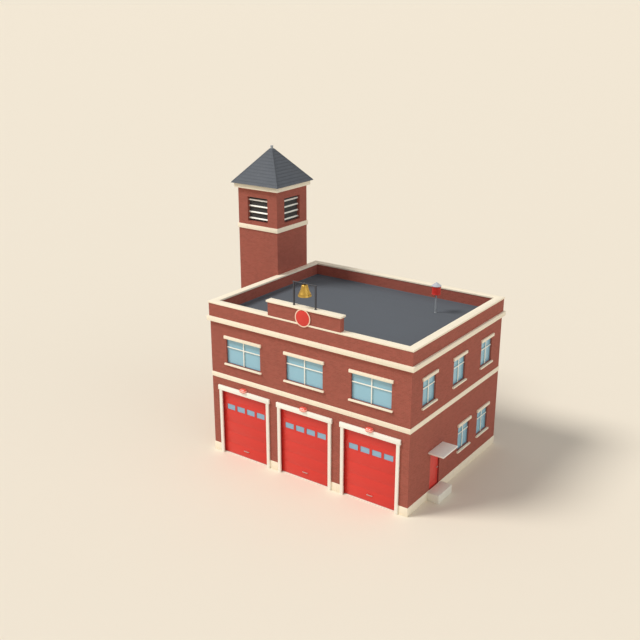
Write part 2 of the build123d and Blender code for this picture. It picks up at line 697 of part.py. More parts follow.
with BuildPart() as tower_shaft:
    tower_tube(0, PLINTH_TOP, BELT_BOTTOM)
save(tower_shaft, "tower_shaft")

with BuildPart() as tower_belt:
    tower_tube(BELT_PROUD, BELT_BOTTOM, BELT_TOP)
save(tower_belt, "tower_belt")

with BuildPart() as tower_belfry:
    tower_tube(0, BELT_TOP, TOWER_CORNICE_BOTTOM)
    gap = LOUVRE_WIDTH / 2
    across = (TOWER_X - TOWER_HALF, TOWER_X + TOWER_HALF, TOWER_Y - gap, TOWER_Y + gap)
    along = (TOWER_X - gap, TOWER_X + gap, TOWER_Y - TOWER_HALF, TOWER_Y + TOWER_HALF)
    block(*across, LOUVRE_BOTTOM, LOUVRE_TOP, Mode.SUBTRACT)
    block(*along, LOUVRE_BOTTOM, LOUVRE_TOP, Mode.SUBTRACT)
save(tower_belfry, "tower_belfry")

with BuildPart() as tower_louvres:
    slat_depth = TOWER_HALF - SLAT_SETBACK
    for turn in range(4):
        for i in range(SLAT_COUNT):
            slat_z = LOUVRE_BOTTOM + SLAT_BOTTOM_GAP + SLAT_PITCH * i
            side = Location((TOWER_X, TOWER_Y, slat_z), (0, 0, 90 * turn))
            with Locations(side * Location((0, -slat_depth, 0), (-SLAT_TILT, 0, 0))):
                Box(LOUVRE_WIDTH, SLAT_THICK, SLAT_WIDTH)
save(tower_louvres, "tower_louvres")

with BuildPart() as tower_cornice:
    tower_tube(TOWER_CORNICE_PROUD, TOWER_CORNICE_BOTTOM, TOWER_CORNICE_TOP)
save(tower_cornice, "tower_cornice")

with BuildPart() as tower_roof:
    tower_pyramid(EAVE_HALF, FINIAL_RADIUS, TOWER_ROOF_RISE)
    hollow_half = TOWER_HALF - TOWER_WALL
    hollow_rise = TOWER_ROOF_RISE * (hollow_half - FINIAL_RADIUS) / (EAVE_HALF - FINIAL_RADIUS)
    tower_pyramid(hollow_half, FINIAL_RADIUS, hollow_rise, Mode.SUBTRACT)
save(tower_roof, "tower_roof")

with BuildPart() as tower_finial:
    finial_plane = Plane.XY.offset(TOWER_CORNICE_TOP + TOWER_ROOF_RISE)
    disc(finial_plane, (TOWER_X, TOWER_Y), FINIAL_RADIUS, FINIAL_HEIGHT)
save(tower_finial, "tower_finial")
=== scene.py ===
"""Finishes and fine work of a brick fire station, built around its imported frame.

Metres, +Z up. The front faces -Y, the side door is in the +X wall and the hose tower stands at -X.
"""
import logging
import math
from contextlib import contextmanager
from dataclasses import dataclass
from enum import Enum
from typing import Any, Callable, Iterator, Sequence

import bmesh
import bpy
from mathutils import Matrix, Vector


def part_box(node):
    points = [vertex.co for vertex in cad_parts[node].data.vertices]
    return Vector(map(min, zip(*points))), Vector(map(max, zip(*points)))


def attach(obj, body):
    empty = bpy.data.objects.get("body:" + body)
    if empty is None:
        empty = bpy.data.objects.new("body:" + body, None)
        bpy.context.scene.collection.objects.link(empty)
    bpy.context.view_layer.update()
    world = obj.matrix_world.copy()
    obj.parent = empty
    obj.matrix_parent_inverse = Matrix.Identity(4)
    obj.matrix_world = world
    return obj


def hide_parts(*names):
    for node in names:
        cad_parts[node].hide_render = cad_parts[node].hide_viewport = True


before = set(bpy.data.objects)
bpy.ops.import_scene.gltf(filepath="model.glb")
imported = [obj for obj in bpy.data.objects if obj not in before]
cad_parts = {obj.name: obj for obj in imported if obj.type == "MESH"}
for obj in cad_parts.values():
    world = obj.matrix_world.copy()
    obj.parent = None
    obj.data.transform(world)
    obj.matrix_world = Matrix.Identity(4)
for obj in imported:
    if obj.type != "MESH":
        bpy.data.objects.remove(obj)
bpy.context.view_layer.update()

LOG = logging.getLogger("fire_station")

Piece = bpy.types.Object
Colour = tuple[float, float, float, float]
Point = Sequence[float]
Outline = Sequence[tuple[float, float]]
Test = Callable[[Vector, Vector], bool]
Box = tuple[Vector, Vector]

CORNERS = ((-1, -1), (-1, 1), (1, -1), (1, 1))


def tone(red: int, green: int, blue: int) -> Colour:
    """Turn a colour as it is seen, 0 to 255 a channel, into the linear one that shaders take.

    Args:
        red: Red channel.
        green: Green channel.
        blue: Blue channel.

    Returns:
        Linear red, green and blue, with an alpha of one.
    """
    shares = [channel / 255 for channel in (red, green, blue)]
    linear = [s / 12.92 if s <= 0.04045 else ((s + 0.055) / 1.055) ** 2.4 for s in shares]
    return (linear[0], linear[1], linear[2], 1.0)


# ---------------------------------------------------------------- modelling bench


def only(piece: Piece) -> None:
    """Select one object alone and make it active."""
    bpy.ops.object.select_all(action="DESELECT")
    piece.select_set(True)
    bpy.context.view_layer.objects.active = piece


@contextmanager
def editing(piece: Piece) -> Iterator[None]:
    """Hold a piece in edit mode, with nothing selected at the start."""
    only(piece)
    bpy.ops.object.mode_set(mode="EDIT")
    bpy.ops.mesh.select_mode(type="VERT")
    bpy.ops.mesh.select_all(action="DESELECT")
    yield
    bpy.ops.object.mode_set(mode="OBJECT")


def pick_faces(piece: Piece, test: Test) -> None:
    """Select the faces of a piece in edit mode that pass a test.

    Args:
        piece: The object in edit mode.
        test: Takes a face's centre and normal, and says whether it is wanted.
    """
    bpy.ops.mesh.select_mode(type="FACE")
    mesh = bmesh.from_edit_mesh(piece.data)
    for face in mesh.faces:
        face.select_set(test(face.calc_center_median(), face.normal))
    bmesh.update_edit_mesh(piece.data)


def pick_edges(piece: Piece, test: Test) -> None:
    """Select the edges of a piece in edit mode that pass a test.

    Args:
        piece: The object in edit mode.
        test: Takes an edge's middle and its direction, and says whether it is wanted.
    """
    bpy.ops.mesh.select_mode(type="EDGE")
    mesh = bmesh.from_edit_mesh(piece.data)
    for edge in mesh.edges:
        first, last = (vertex.co for vertex in edge.verts)
        edge.select_set(test((first + last) / 2, (last - first).normalized()))
    bmesh.update_edit_mesh(piece.data)


def settle(piece: Piece) -> None:
    """Move an object's place, turn and scale into its mesh."""
    only(piece)
    bpy.ops.object.transform_apply(location=True, rotation=True, scale=True)


def named(name: str) -> Piece:
    """Give the primitive just added its name and settle it."""
    piece = bpy.context.object
    piece.name = piece.data.name = name
    settle(piece)
    return piece


def cuboid(name: str, low: Point, high: Point) -> Piece:
    """Add a block between two corners, as the start of a piece."""
    low, high = Vector(low), Vector(high)
    bpy.ops.mesh.primitive_cube_add(size=1, location=(low + high) / 2, scale=high - low)
    return named(name)


def rod(name: str, start: Point, end: Point, radius: float, sides: int) -> Piece:
    """Add a round bar between two points, as the start of a piece.

    Args:
        name: Name of the piece.
        start: Centre of one end.
        end: Centre of the other end.
        radius: Radius of the bar.
        sides: Number of sides of its outline.

    Returns:
        The bar, with its place in its mesh.
    """
    start, end = Vector(start), Vector(end)
    along = end - start
    bpy.ops.mesh.primitive_cylinder_add(
        vertices=sides,
        radius=radius,
        depth=along.length,
        location=(start + end) / 2,
        rotation=along.to_track_quat("Z", "Y").to_euler(),
    )
    return named(name)


def turned(
    name: str, outline: Outline, centre: Point, steps: int, crease: float = 30.0
) -> Piece:
    """Turn a piece on the lathe: draw its half outline point by point and spin it round +Z.

    Args:
        name: Name of the piece.
        outline: Radius and height of each point, from one end of the outline to the other.
        centre: The point on the axis that the outline's heights count from.
        steps: Number of steps round the axis.
        crease: Edges sharper than this many degrees stay crisp.

    Returns:
        The turned piece, with its normals facing out.
    """
    centre = Vector(centre)
    bpy.ops.mesh.primitive_plane_add(size=1, location=centre)
    piece = named(name)
    with editing(piece):
        bpy.ops.mesh.select_all(action="SELECT")
        bpy.ops.mesh.merge(type="CENTER")
        radius, height = outline[0]
        bpy.ops.transform.translate(value=(radius, 0, height))
        for (r0, h0), (r1, h1) in zip(outline, outline[1:]):
            bpy.ops.mesh.extrude_region_move(
                TRANSFORM_OT_translate={"value": (r1 - r0, 0, h1 - h0)}
            )
        bpy.ops.mesh.select_all(action="SELECT")
        bpy.ops.mesh.spin(steps=steps, angle=math.tau, center=centre, axis=(0, 0, 1))
        bpy.ops.mesh.select_all(action="SELECT")
        bpy.ops.mesh.remove_doubles(threshold=0.0005)
        bpy.ops.mesh.normals_make_consistent(inside=False)
    bpy.ops.object.shade_smooth_by_angle(angle=math.radians(crease))
    return piece


def modified(piece: Piece, kind: str, **settings: Any) -> Piece:
    """Add a modifier to a piece and apply it.

    Args:
        piece: The object to change.
        kind: The modifier's type.
        **settings: Properties of the modifier.

    Returns:
        The same object.
    """
    only(piece)
    bpy.ops.object.modifier_add(type=kind)
    modifier = piece.modifiers[-1]
    for name, value in settings.items():
        setattr(modifier, name, value)
    bpy.ops.object.modifier_apply(modifier=modifier.name)
    return piece


def chamfer(piece: Piece, width: float, segments: int = 2) -> Piece:
    """Ease the sharp edges of a piece with an applied bevel.

    Args:
        piece: The object to ease.
        width: Width of the bevel.
        segments: Number of faces across the bevel.

    Returns:
        The same object.
    """
    sharp = math.radians(30)
    limits = {"limit_method": "ANGLE", "angle_limit": sharp}
    modified(piece, "BEVEL", width=width, segments=segments, **limits)
    bpy.ops.object.shade_smooth_by_angle(angle=sharp)
    return piece


def cut(piece: Piece, cutter: Piece) -> Piece:
    """Cut one piece out of another and remove the cutter."""
    modified(piece, "BOOLEAN", object=cutter, operation="DIFFERENCE", solver="EXACT")
    bpy.data.objects.remove(cutter)
    return piece


def copied(piece: Piece, place: Matrix) -> Piece:
    """Copy a piece with its own mesh and put the copy at a place."""
    only(piece)
    bpy.ops.object.duplicate(linked=False)
    twin = bpy.context.object
    twin.matrix_world = place @ twin.matrix_world
    settle(twin)
    return twin


def joined(name: str, pieces: Sequence[Piece]) -> Piece:
    """Join several pieces into one object of that name."""
    bpy.ops.object.select_all(action="DESELECT")
    for piece in pieces:
        piece.select_set(True)
    bpy.context.view_layer.objects.active = pieces[0]
    bpy.ops.object.join()
    pieces[0].name = pieces[0].data.name = name
    return pieces[0]


def softened(name: str, node: str, width: float) -> Piece:
    """Copy a node of the frame as one clean shell with its edges eased.

    Args:
        name: Name of the new piece.
        node: Name of the node that is copied.
        width: Width of the bevel along its edges.

    Returns:
        The new piece, inside the node's own box.
    """
    piece = bpy.data.objects.new(name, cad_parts[node].data.copy())
    bpy.context.scene.collection.objects.link(piece)
    with editing(piece):
        bpy.ops.mesh.customdata_custom_splitnormals_clear()
        bpy.ops.mesh.select_all(action="SELECT")
        bpy.ops.mesh.remove_doubles(threshold=0.0001)
        bpy.ops.mesh.dissolve_limited(angle_limit=math.radians(0.5))
    return chamfer(piece, width)


def solids_of(node: str) -> list[Box]:
    """Find the separate solids of a node of the frame.

    Args:
        node: Name of the node.

    Returns:
        The lowest and highest corner of each solid, in order of place.
    """
    mesh = bmesh.new()
    mesh.from_mesh(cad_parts[node].data)
    bmesh.ops.remove_doubles(mesh, verts=mesh.verts, dist=0.0001)
    unseen = set(mesh.verts)
    boxes = []
    while unseen:
        wave = [unseen.pop()]
        places = []
        while wave:
            vertex = wave.pop()
            places.append(vertex.co.copy())
            near = {edge.other_vert(vertex) for edge in vertex.link_edges} & unseen
            unseen -= near
            wave.extend(near)
        low = Vector(min(place[axis] for place in places) for axis in range(3))
        high = Vector(max(place[axis] for place in places) for axis in range(3))
        boxes.append((low, high))
    mesh.free()
    return sorted(boxes, key=lambda box: [round(c, 3) for c in (box[0].z, box[0].y, box[0].x)])


def deliver(
    piece: Piece,
    finish: "Finish",
    body: str = "building",
    stands_for: Sequence[str] = (),
) -> None:
    """Paint a finished piece and hand it to the frame.

    Args:
        piece: The finished object.
        finish: Its finish.
        body: Body of the frame that it moves with.
        stands_for: Nodes of the frame that it is shown in place of.
    """
    piece.data.materials.clear()
    piece.data.materials.append(finish.material())
    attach(piece, body)
    if stands_for:
        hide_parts(*stands_for)
    LOG.info("piece %s: %d faces on %s", piece.name, len(piece.data.polygons), body)


def eased(
    name: str, node: str, width: float, finish: "Finish", body: str = "building"
) -> None:
    """Show a node of the frame as a copy of that name with eased edges."""
    deliver(softened(name, node, width), finish, body, (node,))


def painted(node: str, finish: "Finish") -> None:
    """Keep a node of the frame as it is and give it its finish."""
    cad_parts[node].data.materials.clear()
    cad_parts[node].data.materials.append(finish.material())


# ---------------------------------------------------------------- shader work


class Effect(Enum):
    """The shared effects, each one node group."""

    MOTTLE = "mottle"
    COURSES = "laid courses"
    BLOCKS = "block joints"
    GRAIN = "fine grain"


class Bench:
    """A node tree being wired, with a short way to place a node and feed its inputs."""

    def __init__(self, tree: bpy.types.NodeTree) -> None:
        """Take the tree to wire."""
        self.tree = tree

    def place(self, kind: str, feeds: dict[Any, Any] | None = None, **settings: Any) -> Any:
        """Add a node and feed its inputs.

        Args:
            kind: The node's type.
            feeds: Sockets or values for its inputs, by name or index.
            **settings: Properties of the node.

        Returns:
            The new node.
        """
        node = self.tree.nodes.new(kind)
        for name, value in settings.items():
            setattr(node, name, value)
        for name, value in (feeds or {}).items():
            if isinstance(value, bpy.types.NodeSocket):
                self.link(value, node, name)
            else:
                node.inputs[name].default_value = value
        return node

    def link(self, source: Any, node: Any, name: Any) -> None:
        """Join a socket to a node's input."""
        self.tree.links.new(source, node.inputs[name])

    def sum(self, operation: str, first: Any, second: Any = 0.0, third: Any = 0.0) -> Any:
        """Add a math node and return its result."""
        feeds = {0: first, 1: second, 2: third}
        return self.place("ShaderNodeMath", feeds, operation=operation).outputs[0]

    def blend(self, share: Any, first: Any, second: Any) -> Any:
        """Mix two colours by a share and return the result."""
        feeds = {0: share, 6: first, 7: second}
        return self.place("ShaderNodeMix", feeds, data_type="RGBA").outputs[2]

    def noise(self, spot: Any, scale: Any, detail: float, roughness: float = 0.5) -> Any:
        """Add a noise texture and return its value."""
        feeds = {"Vector": spot, "Scale": scale, "Detail": detail, "Roughness": roughness}
        return self.place("ShaderNodeTexNoise", feeds).outputs["Fac"]

    def spot(self) -> Any:
        """Return the place of the point being shaded on its object."""
        return self.place("ShaderNodeTexCoord").outputs["Object"]

    def split(self, vector: Any) -> Any:
        """Return the X, Y and Z of a vector."""
        return self.place("ShaderNodeSeparateXYZ", {0: vector}).outputs

    def effect(self, effect: Effect, **feeds: Any) -> Any:
        """Place a shared effect; the names of its inputs have spaces for underscores."""
        named_feeds = {name.replace("_", " "): value for name, value in feeds.items()}
        return self.place("ShaderNodeGroup", named_feeds, node_tree=EffectShelf.get(effect))


class EffectShelf:
    """Builds each shared effect once and keeps it."""

    WHITE = (1.0, 1.0, 1.0, 1.0)

    @staticmethod
    def get(effect: Effect) -> bpy.types.NodeTree:
        """Return an effect's node group, built at its first use by the method of its name."""
        found = bpy.data.node_groups.get(effect.value)
        return found or getattr(EffectShelf, effect.name.lower())()

    @staticmethod
    def start(effect: Effect, inputs: dict[str, Any], **outputs: str) -> tuple[Bench, Any, Any]:
        """Open a new group with named sockets.

        Args:
            effect: Which effect the group is.
            inputs: First value of each input by name: a number, a vector or a colour.
            **outputs: Kind of each output by name.

        Returns:
            The bench for its tree, the sockets that it is given and the node for its results.
        """
        tree = bpy.data.node_groups.new(effect.value, "ShaderNodeTree")
        kinds = {1: "NodeSocketFloat", 3: "NodeSocketVector", 4: "NodeSocketColor"}
        for name, value in inputs.items():
            kind = kinds[len(value) if isinstance(value, tuple) else 1]
            socket = tree.interface.new_socket(name, in_out="INPUT", socket_type=kind)
            socket.default_value = value
        for name, kind in outputs.items():
            tree.interface.new_socket(name, in_out="OUTPUT", socket_type=f"NodeSocket{kind}")
        bench = Bench(tree)
        return bench, bench.place("NodeGroupInput").outputs, bench.place("NodeGroupOutput")

    @staticmethod
    def mottle() -> bpy.types.NodeTree:
        """Cloudy lighter and darker patches over a colour."""
        inputs = {"Color": EffectShelf.WHITE, "Scale": 1.0, "Amount": 0.1}
        bench, given, result = EffectShelf.start(
            Effect.MOTTLE, inputs, Color="Color", Cloud="Float"
        )
        cloud = bench.noise(bench.spot(), given["Scale"], 4.0, 0.6)
        swing = bench.sum("MULTIPLY", bench.sum("SUBTRACT", cloud, 0.5), 2.0)
        share = bench.sum("MULTIPLY_ADD", swing, given["Amount"], 1.0)
        feeds = {0: given["Color"], "Scale": share}
        shaded = bench.place("ShaderNodeVectorMath", feeds, operation="SCALE").outputs[0]
        bench.link(shaded, result, "Color")
        bench.link(cloud, result, "Cloud")
        return bench.tree

    @staticmethod
    def courses() -> bpy.types.NodeTree:
        """Units laid in courses with joints, along whichever way a wall runs."""
        inputs = {
            "Unit": EffectShelf.WHITE,
            "Other Unit": EffectShelf.WHITE,
            "Joint": EffectShelf.WHITE,
            "Unit Length": 0.225,
            "Course Height": 0.075,
            "Joint Width": 0.01,
            "Start Height": 0.0,
        }
        bench, given, result = EffectShelf.start(
            Effect.COURSES, inputs, Color="Color", Joint="Float"
        )
        coordinates = bench.place("ShaderNodeTexCoord").outputs
        spot, facing = bench.split(coordinates["Object"]), bench.split(coordinates["Normal"])
        slopes = [bench.sum("ABSOLUTE", facing[axis]) for axis in ("X", "Y")]
        sideways = bench.sum("GREATER_THAN", *slopes)
        along = bench.place("ShaderNodeMix", {0: sideways, 2: spot["X"], 3: spot["Y"]}).outputs[0]
        height = bench.sum("SUBTRACT", spot["Z"], given["Start Height"])
        feeds = {
            "Vector": bench.place("ShaderNodeCombineXYZ", {0: along, 1: height}).outputs[0],
            "Color1": given["Unit"],
            "Color2": given["Other Unit"],
            "Mortar": given["Joint"],
            "Scale": 1.0,
            "Mortar Size": bench.sum("MULTIPLY", given["Joint Width"], 0.5),
            "Mortar Smooth": 0.2,
            "Brick Width": given["Unit Length"],
            "Row Height": given["Course Height"],
        }
        bond = bench.place("ShaderNodeTexBrick", feeds).outputs
        bench.link(bond["Color"], result, "Color")
        bench.link(bond["Fac"], result, "Joint")
        return bench.tree

    @staticmethod
    def blocks() -> bpy.types.NodeTree:
        """Upright joints between long blocks, the same distance apart along both walls."""
        inputs = {"Pitch": 1.0, "Start": 0.0, "Joint Width": 0.006}
        bench, given, result = EffectShelf.start(Effect.BLOCKS, inputs, Joint="Float")
        spot = bench.split(bench.spot())
        half_pitch = bench.sum("MULTIPLY", given["Pitch"], 0.5)
        joints = []
        for axis in ("X", "Y"):
            moved = bench.sum("SUBTRACT", spot[axis], given["Start"])
            gap = bench.sum("PINGPONG", moved, half_pitch)
            joints.append(bench.sum("LESS_THAN", gap, given["Joint Width"]))
        bench.link(bench.sum("MAXIMUM", *joints), result, "Joint")
        return bench.tree

    @staticmethod
    def grain() -> bpy.types.NodeTree:
        """A fine height field for a surface's tooth, from two sizes of noise."""
        inputs = {"Scale": 60.0, "Stretch": (1.0, 1.0, 1.0)}
        bench, given, result = EffectShelf.start(Effect.GRAIN, inputs, Height="Float")
        feeds = {0: bench.spot(), 1: given["Stretch"]}
        drawn = bench.place("ShaderNodeVectorMath", feeds, operation="MULTIPLY").outputs[0]
        coarse = bench.noise(drawn, given["Scale"], 2.0)
        fine = bench.noise(drawn, bench.sum("MULTIPLY", given["Scale"], 5.0), 2.0)
        bench.link(bench.sum("MULTIPLY_ADD", fine, 0.4, coarse), result, "Height")
        return bench.tree


@dataclass(frozen=True)
class Finish:
    """What every finish has: a name, a colour and how rough it is."""

    name: str
    colour: Colour
    roughness: float = 0.6
    mottle: float = 0.05
    mottle_scale: float = 0.8

    def material(self) -> bpy.types.Material:
        """Return the finish's material, made at its first use."""
        found = bpy.data.materials.get(self.name)
        if found:
            return found
        material = bpy.data.materials.new(self.name)
        material.use_nodes = True
        self.wire(Bench(material.node_tree), material.node_tree.nodes["Principled BSDF"])
        return material

    def wire(self, bench: Bench, shader: Any) -> None:
        """Wire the finish's own nodes into its shader."""
        raise NotImplementedError

    def clouded(self, bench: Bench, shader: Any, colour: Any) -> Any:
        """Lay the mottle over a colour as the shader's own.

        Args:
            bench: The bench for the finish's tree.
            shader: The shader that takes the colour.
            colour: The colour under the mottle.

        Returns:
            The mottle's cloud.
        """
        feeds = {"Color": colour, "Scale": self.mottle_scale, "Amount": self.mottle}
        shade = bench.effect(Effect.MOTTLE, **feeds).outputs
        bench.link(shade["Color"], shader, "Base Color")
        return shade["Cloud"]

    def rough(self, bench: Bench, shader: Any, cloud: Any, swing: float) -> None:
        """Let the roughness follow a cloud a little."""
        level = bench.sum("MULTIPLY_ADD", cloud, swing, self.roughness - swing / 2)
        bench.link(level, shader, "Roughness")

    @staticmethod
    def bump(bench: Bench, shader: Any, height: Any, distance: float, strength: float) -> None:
        """Raise a surface by a height field."""
        feeds = {"Strength": strength, "Distance": distance, "Height": height}
        bench.link(bench.place("ShaderNodeBump", feeds).outputs["Normal"], shader, "Normal")


@dataclass(frozen=True)
class Coursed(Finish):
    """A finish of units that are laid in courses, in two tones."""

    other: Colour = (0.2, 0.05, 0.03, 1.0)
    joint: Colour = (0.3, 0.2, 0.15, 1.0)
    length: float = 0.225
    height: float = 0.075
    joint_width: float = 0.010
    start: float = 0.540

    def laid(self, bench: Bench, shader: Any, swing: float) -> Any:
        """Wire the courses, their weathering and how rough they are.

        Args:
            bench: The bench for the finish's tree.
            shader: The shader that takes the courses.
            swing: How far the roughness follows the weathering.

        Returns:
            The share of joint at each point.
        """
        courses = bench.effect(
            Effect.COURSES,
            Unit=self.colour,
            Other_Unit=self.other,
            Joint=self.joint,
            Unit_Length=self.length,
            Course_Height=self.height,
            Joint_Width=self.joint_width,
            Start_Height=self.start,
        ).outputs
        self.rough(bench, shader, self.clouded(bench, shader, courses["Color"]), swing)
        return courses["Joint"]


@dataclass(frozen=True)
class Brickwork(Coursed):
    """Fired brick in stretcher bond with flush joints."""

    def wire(self, bench: Bench, shader: Any) -> None:
        """Wire the bond and the bricks' tooth."""
        joint = self.laid(bench, shader, 0.12)
        grain = bench.effect(Effect.GRAIN, Scale=45.0).outputs["Height"]
        face = bench.sum("MULTIPLY_ADD", joint, -1.0, 1.0)
        self.bump(bench, shader, bench.sum("MULTIPLY_ADD", grain, 0.15, face), 0.004, 0.5)


@dataclass(frozen=True)
class Slating(Coursed):
    """Split slates, each a slightly different grey, with narrow upright joints."""

    other: Colour = (0.05, 0.055, 0.06, 1.0)
    joint: Colour = (0.03, 0.03, 0.035, 1.0)
    length: float = 0.25
    height: float = 0.178
    joint_width: float = 0.006
    start: float = 15.625

    def wire(self, bench: Bench, shader: Any) -> None:
        """Wire the slates' joints and tones, and their split faces."""
        self.laid(bench, shader, 0.2)
        split = bench.effect(Effect.GRAIN, Scale=14.0).outputs["Height"]
        self.bump(bench, shader, split, 0.003, 0.4)


@dataclass(frozen=True)
class CastStone(Finish):
    """Smooth cast stone, plain or in long blocks with fine joints."""

    joint: Colour = (0.5, 0.42, 0.3, 1.0)
    pitch: float = 0.0
    start: float = 0.5
    joint_half_width: float = 0.004

    def wire(self, bench: Bench, shader: Any) -> None:
        """Wire the stone's clouds, its tooth and, where it is in blocks, its joints."""
        height = bench.effect(Effect.GRAIN, Scale=35.0).outputs["Height"]
        colour: Any = self.colour
        if self.pitch:
            half = self.joint_half_width
            feeds = {"Pitch": self.pitch, "Start": self.start, "Joint Width": half}
            joint = bench.effect(Effect.BLOCKS, **feeds).outputs["Joint"]
            colour = bench.blend(joint, self.colour, self.joint)
            height = bench.sum("MULTIPLY_ADD", joint, -2.0, height)
        self.rough(bench, shader, self.clouded(bench, shader, colour), 0.15)
        self.bump(bench, shader, height, 0.002, 0.35)


@dataclass(frozen=True)
class Coating(Finish):
    """Paint on metal or timber, with a faint orange peel and a film of dust."""

    coat: float = 0.0
    glow: float = 0.0
    peel_scale: float = 25.0

    def wire(self, bench: Bench, shader: Any) -> None:
        """Wire the paint's clouds and its peel."""
        self.rough(bench, shader, self.clouded(bench, shader, self.colour), 0.1)
        shader.inputs["Coat Weight"].default_value = self.coat
        shader.inputs["Coat Roughness"].default_value = 0.15
        if self.glow:
            shader.inputs["Emission Color"].default_value = self.colour
            shader.inputs["Emission Strength"].default_value = self.glow
        peel = bench.effect(Effect.GRAIN, Scale=self.peel_scale).outputs["Height"]
        self.bump(bench, shader, peel, 0.001, 0.15)


@dataclass(frozen=True)
class Metal(Finish):
    """Bare or polished metal with marks drawn one way."""

    stretch: tuple[float, float, float] = (1.0, 1.0, 0.05)
    mark_scale: float = 120.0

    def wire(self, bench: Bench, shader: Any) -> None:
        """Wire the metal's clouds and its drawn marks."""
        self.clouded(bench, shader, self.colour)
        shader.inputs["Metallic"].default_value = 1.0
        feeds = {"Scale": self.mark_scale, "Stretch": self.stretch}
        marks = bench.effect(Effect.GRAIN, **feeds).outputs["Height"]
        self.rough(bench, shader, marks, 0.15)
        self.bump(bench, shader, marks, 0.0005, 0.2)


@dataclass(frozen=True)
class Felt(Finish):
    """Mineral roofing felt in lapped strips."""

    strip: float = 1.0
    lap_half_width: float = 0.006
    lap: Colour = (0.08, 0.085, 0.09, 1.0)

    def wire(self, bench: Bench, shader: Any) -> None:
        """Wire the laps between strips, the mineral grains and patches of weather."""
        gap = bench.sum("PINGPONG", bench.split(bench.spot())["Y"], self.strip / 2)
        lap = bench.sum("LESS_THAN", gap, self.lap_half_width)
        strips = bench.blend(lap, self.colour, self.lap)
        specks = bench.effect(Effect.MOTTLE, Color=strips, Scale=140.0, Amount=0.25)
        self.rough(bench, shader, self.clouded(bench, shader, specks.outputs["Color"]), 0.1)
        grain = bench.effect(Effect.GRAIN, Scale=90.0).outputs["Height"]
        self.bump(bench, shader, bench.sum("MULTIPLY_ADD", lap, -1.5, grain), 0.002, 0.4)


@dataclass(frozen=True)
class Glazing(Finish):
    """Tinted glass that gives back the pale sky."""

    transmission: float = 0.1

    def wire(self, bench: Bench, shader: Any) -> None:
        """Wire the glass's faint clouds and the slow ripple of its face."""
        self.clouded(bench, shader, self.colour)
        shader.inputs["Roughness"].default_value = self.roughness
        shader.inputs["Transmission Weight"].default_value = self.transmission
        shader.inputs["IOR"].default_value = 1.5
        ripple = bench.effect(Effect.GRAIN, Scale=1.2).outputs["Height"]
        self.bump(bench, shader, ripple, 0.002, 0.1)


class Palette:
    """The finishes of the building."""

    BRICK = Brickwork(
        "fired brick",
        tone(166, 86, 71),
        roughness=0.85,
        mottle=0.08,
        mottle_scale=0.9,
        other=tone(152, 78, 63),
        joint=tone(170, 109, 92),
    )
    STONE = CastStone(
        "cream cast stone",
        tone(252, 240, 216),
        roughness=0.7,
        mottle=0.03,
        pitch=0.98,
        joint=tone(226, 212, 186),
    )
    DRESSED = CastStone("dressed cream stone", tone(252, 240, 216), roughness=0.7, mottle=0.03)
    CONCRETE = CastStone("trowelled concrete", tone(241, 237, 222), roughness=0.8, mottle=0.06)
    CANOPY = CastStone("pale concrete", tone(255, 252, 243), roughness=0.75, mottle=0.05)
    SURROUND = Coating("white satin paint", tone(255, 254, 242), roughness=0.4, mottle=0.02)
    RED = Coating("red gloss paint", tone(218, 51, 41), roughness=0.4, mottle=0.03, coat=0.15)
    DOOR_RED = Coating("red door paint", tone(224, 62, 52), roughness=0.4, mottle=0.03, coat=0.15)
    # Darker red for the guides, seals, side door frame and its lining: real paint, and on the
    # reveals also painted shade.
    DARK_RED = Coating("dark red paint with painted reveal shade", tone(150, 36, 34), roughness=0.5, mottle=0.03)
    RING = Coating("cream gloss paint", tone(252, 214, 190), roughness=0.35, mottle=0.02)
    LENS = Coating(
        "red lamp lens", tone(234, 100, 86), roughness=0.2, mottle=0.04, coat=0.5, glow=0.15
    )
    # The paler band across each lamp lens is a painted highlight.
    LENS_BAND = Coating("painted lamp highlight", tone(255, 184, 168), roughness=0.25, glow=0.15)
    FRAME_PAINT = Coating("blue grey paint", tone(120, 150, 164), roughness=0.45, mottle=0.03)
    CAP_PAINT = Coating("pale blue paint", tone(186, 190, 198), roughness=0.4, mottle=0.03)
    POLE_PAINT = Coating("grey pole paint", tone(160, 166, 170), roughness=0.4, mottle=0.04)
    IRON = Coating(
        "dark iron paint", tone(58, 59, 66), roughness=0.5, mottle=0.08, mottle_scale=6.0
    )
    # The dark screen behind the louvres is a bird screen, and its darkness is painted shade of the
    # belfry's inside.
    DARK_MESH_AND_SHADE = Coating("dark mesh with painted belfry shade", tone(63, 62, 62), roughness=0.9, mottle=0.1)
    STEEL = Metal("drawn steel", tone(205, 203, 200), roughness=0.35, stretch=(0.05, 1.0, 1.0))
    BELL = Metal(
        "bell metal",
        tone(186, 153, 78),
        roughness=0.34,
        mottle=0.08,
        mottle_scale=5.0,
        stretch=(1.0, 1.0, 4.0),
        mark_scale=30.0,
    )
    FELT = Felt("mineral felt", tone(86, 92, 100), roughness=0.9, mottle=0.06, mottle_scale=0.5)
    SLATE = Slating(
        "split slate", tone(83, 89, 98), roughness=0.7, mottle=0.05, other=tone(79, 85, 94)
    )
    GLASS = Glazing("tinted glass", tone(160, 208, 227), roughness=0.08, mottle=0.03)
    DOOR_GLASS = Glazing("tinted door glass", tone(152, 192, 216), roughness=0.08, mottle=0.03)


# ---------------------------------------------------------------- sub-assemblies


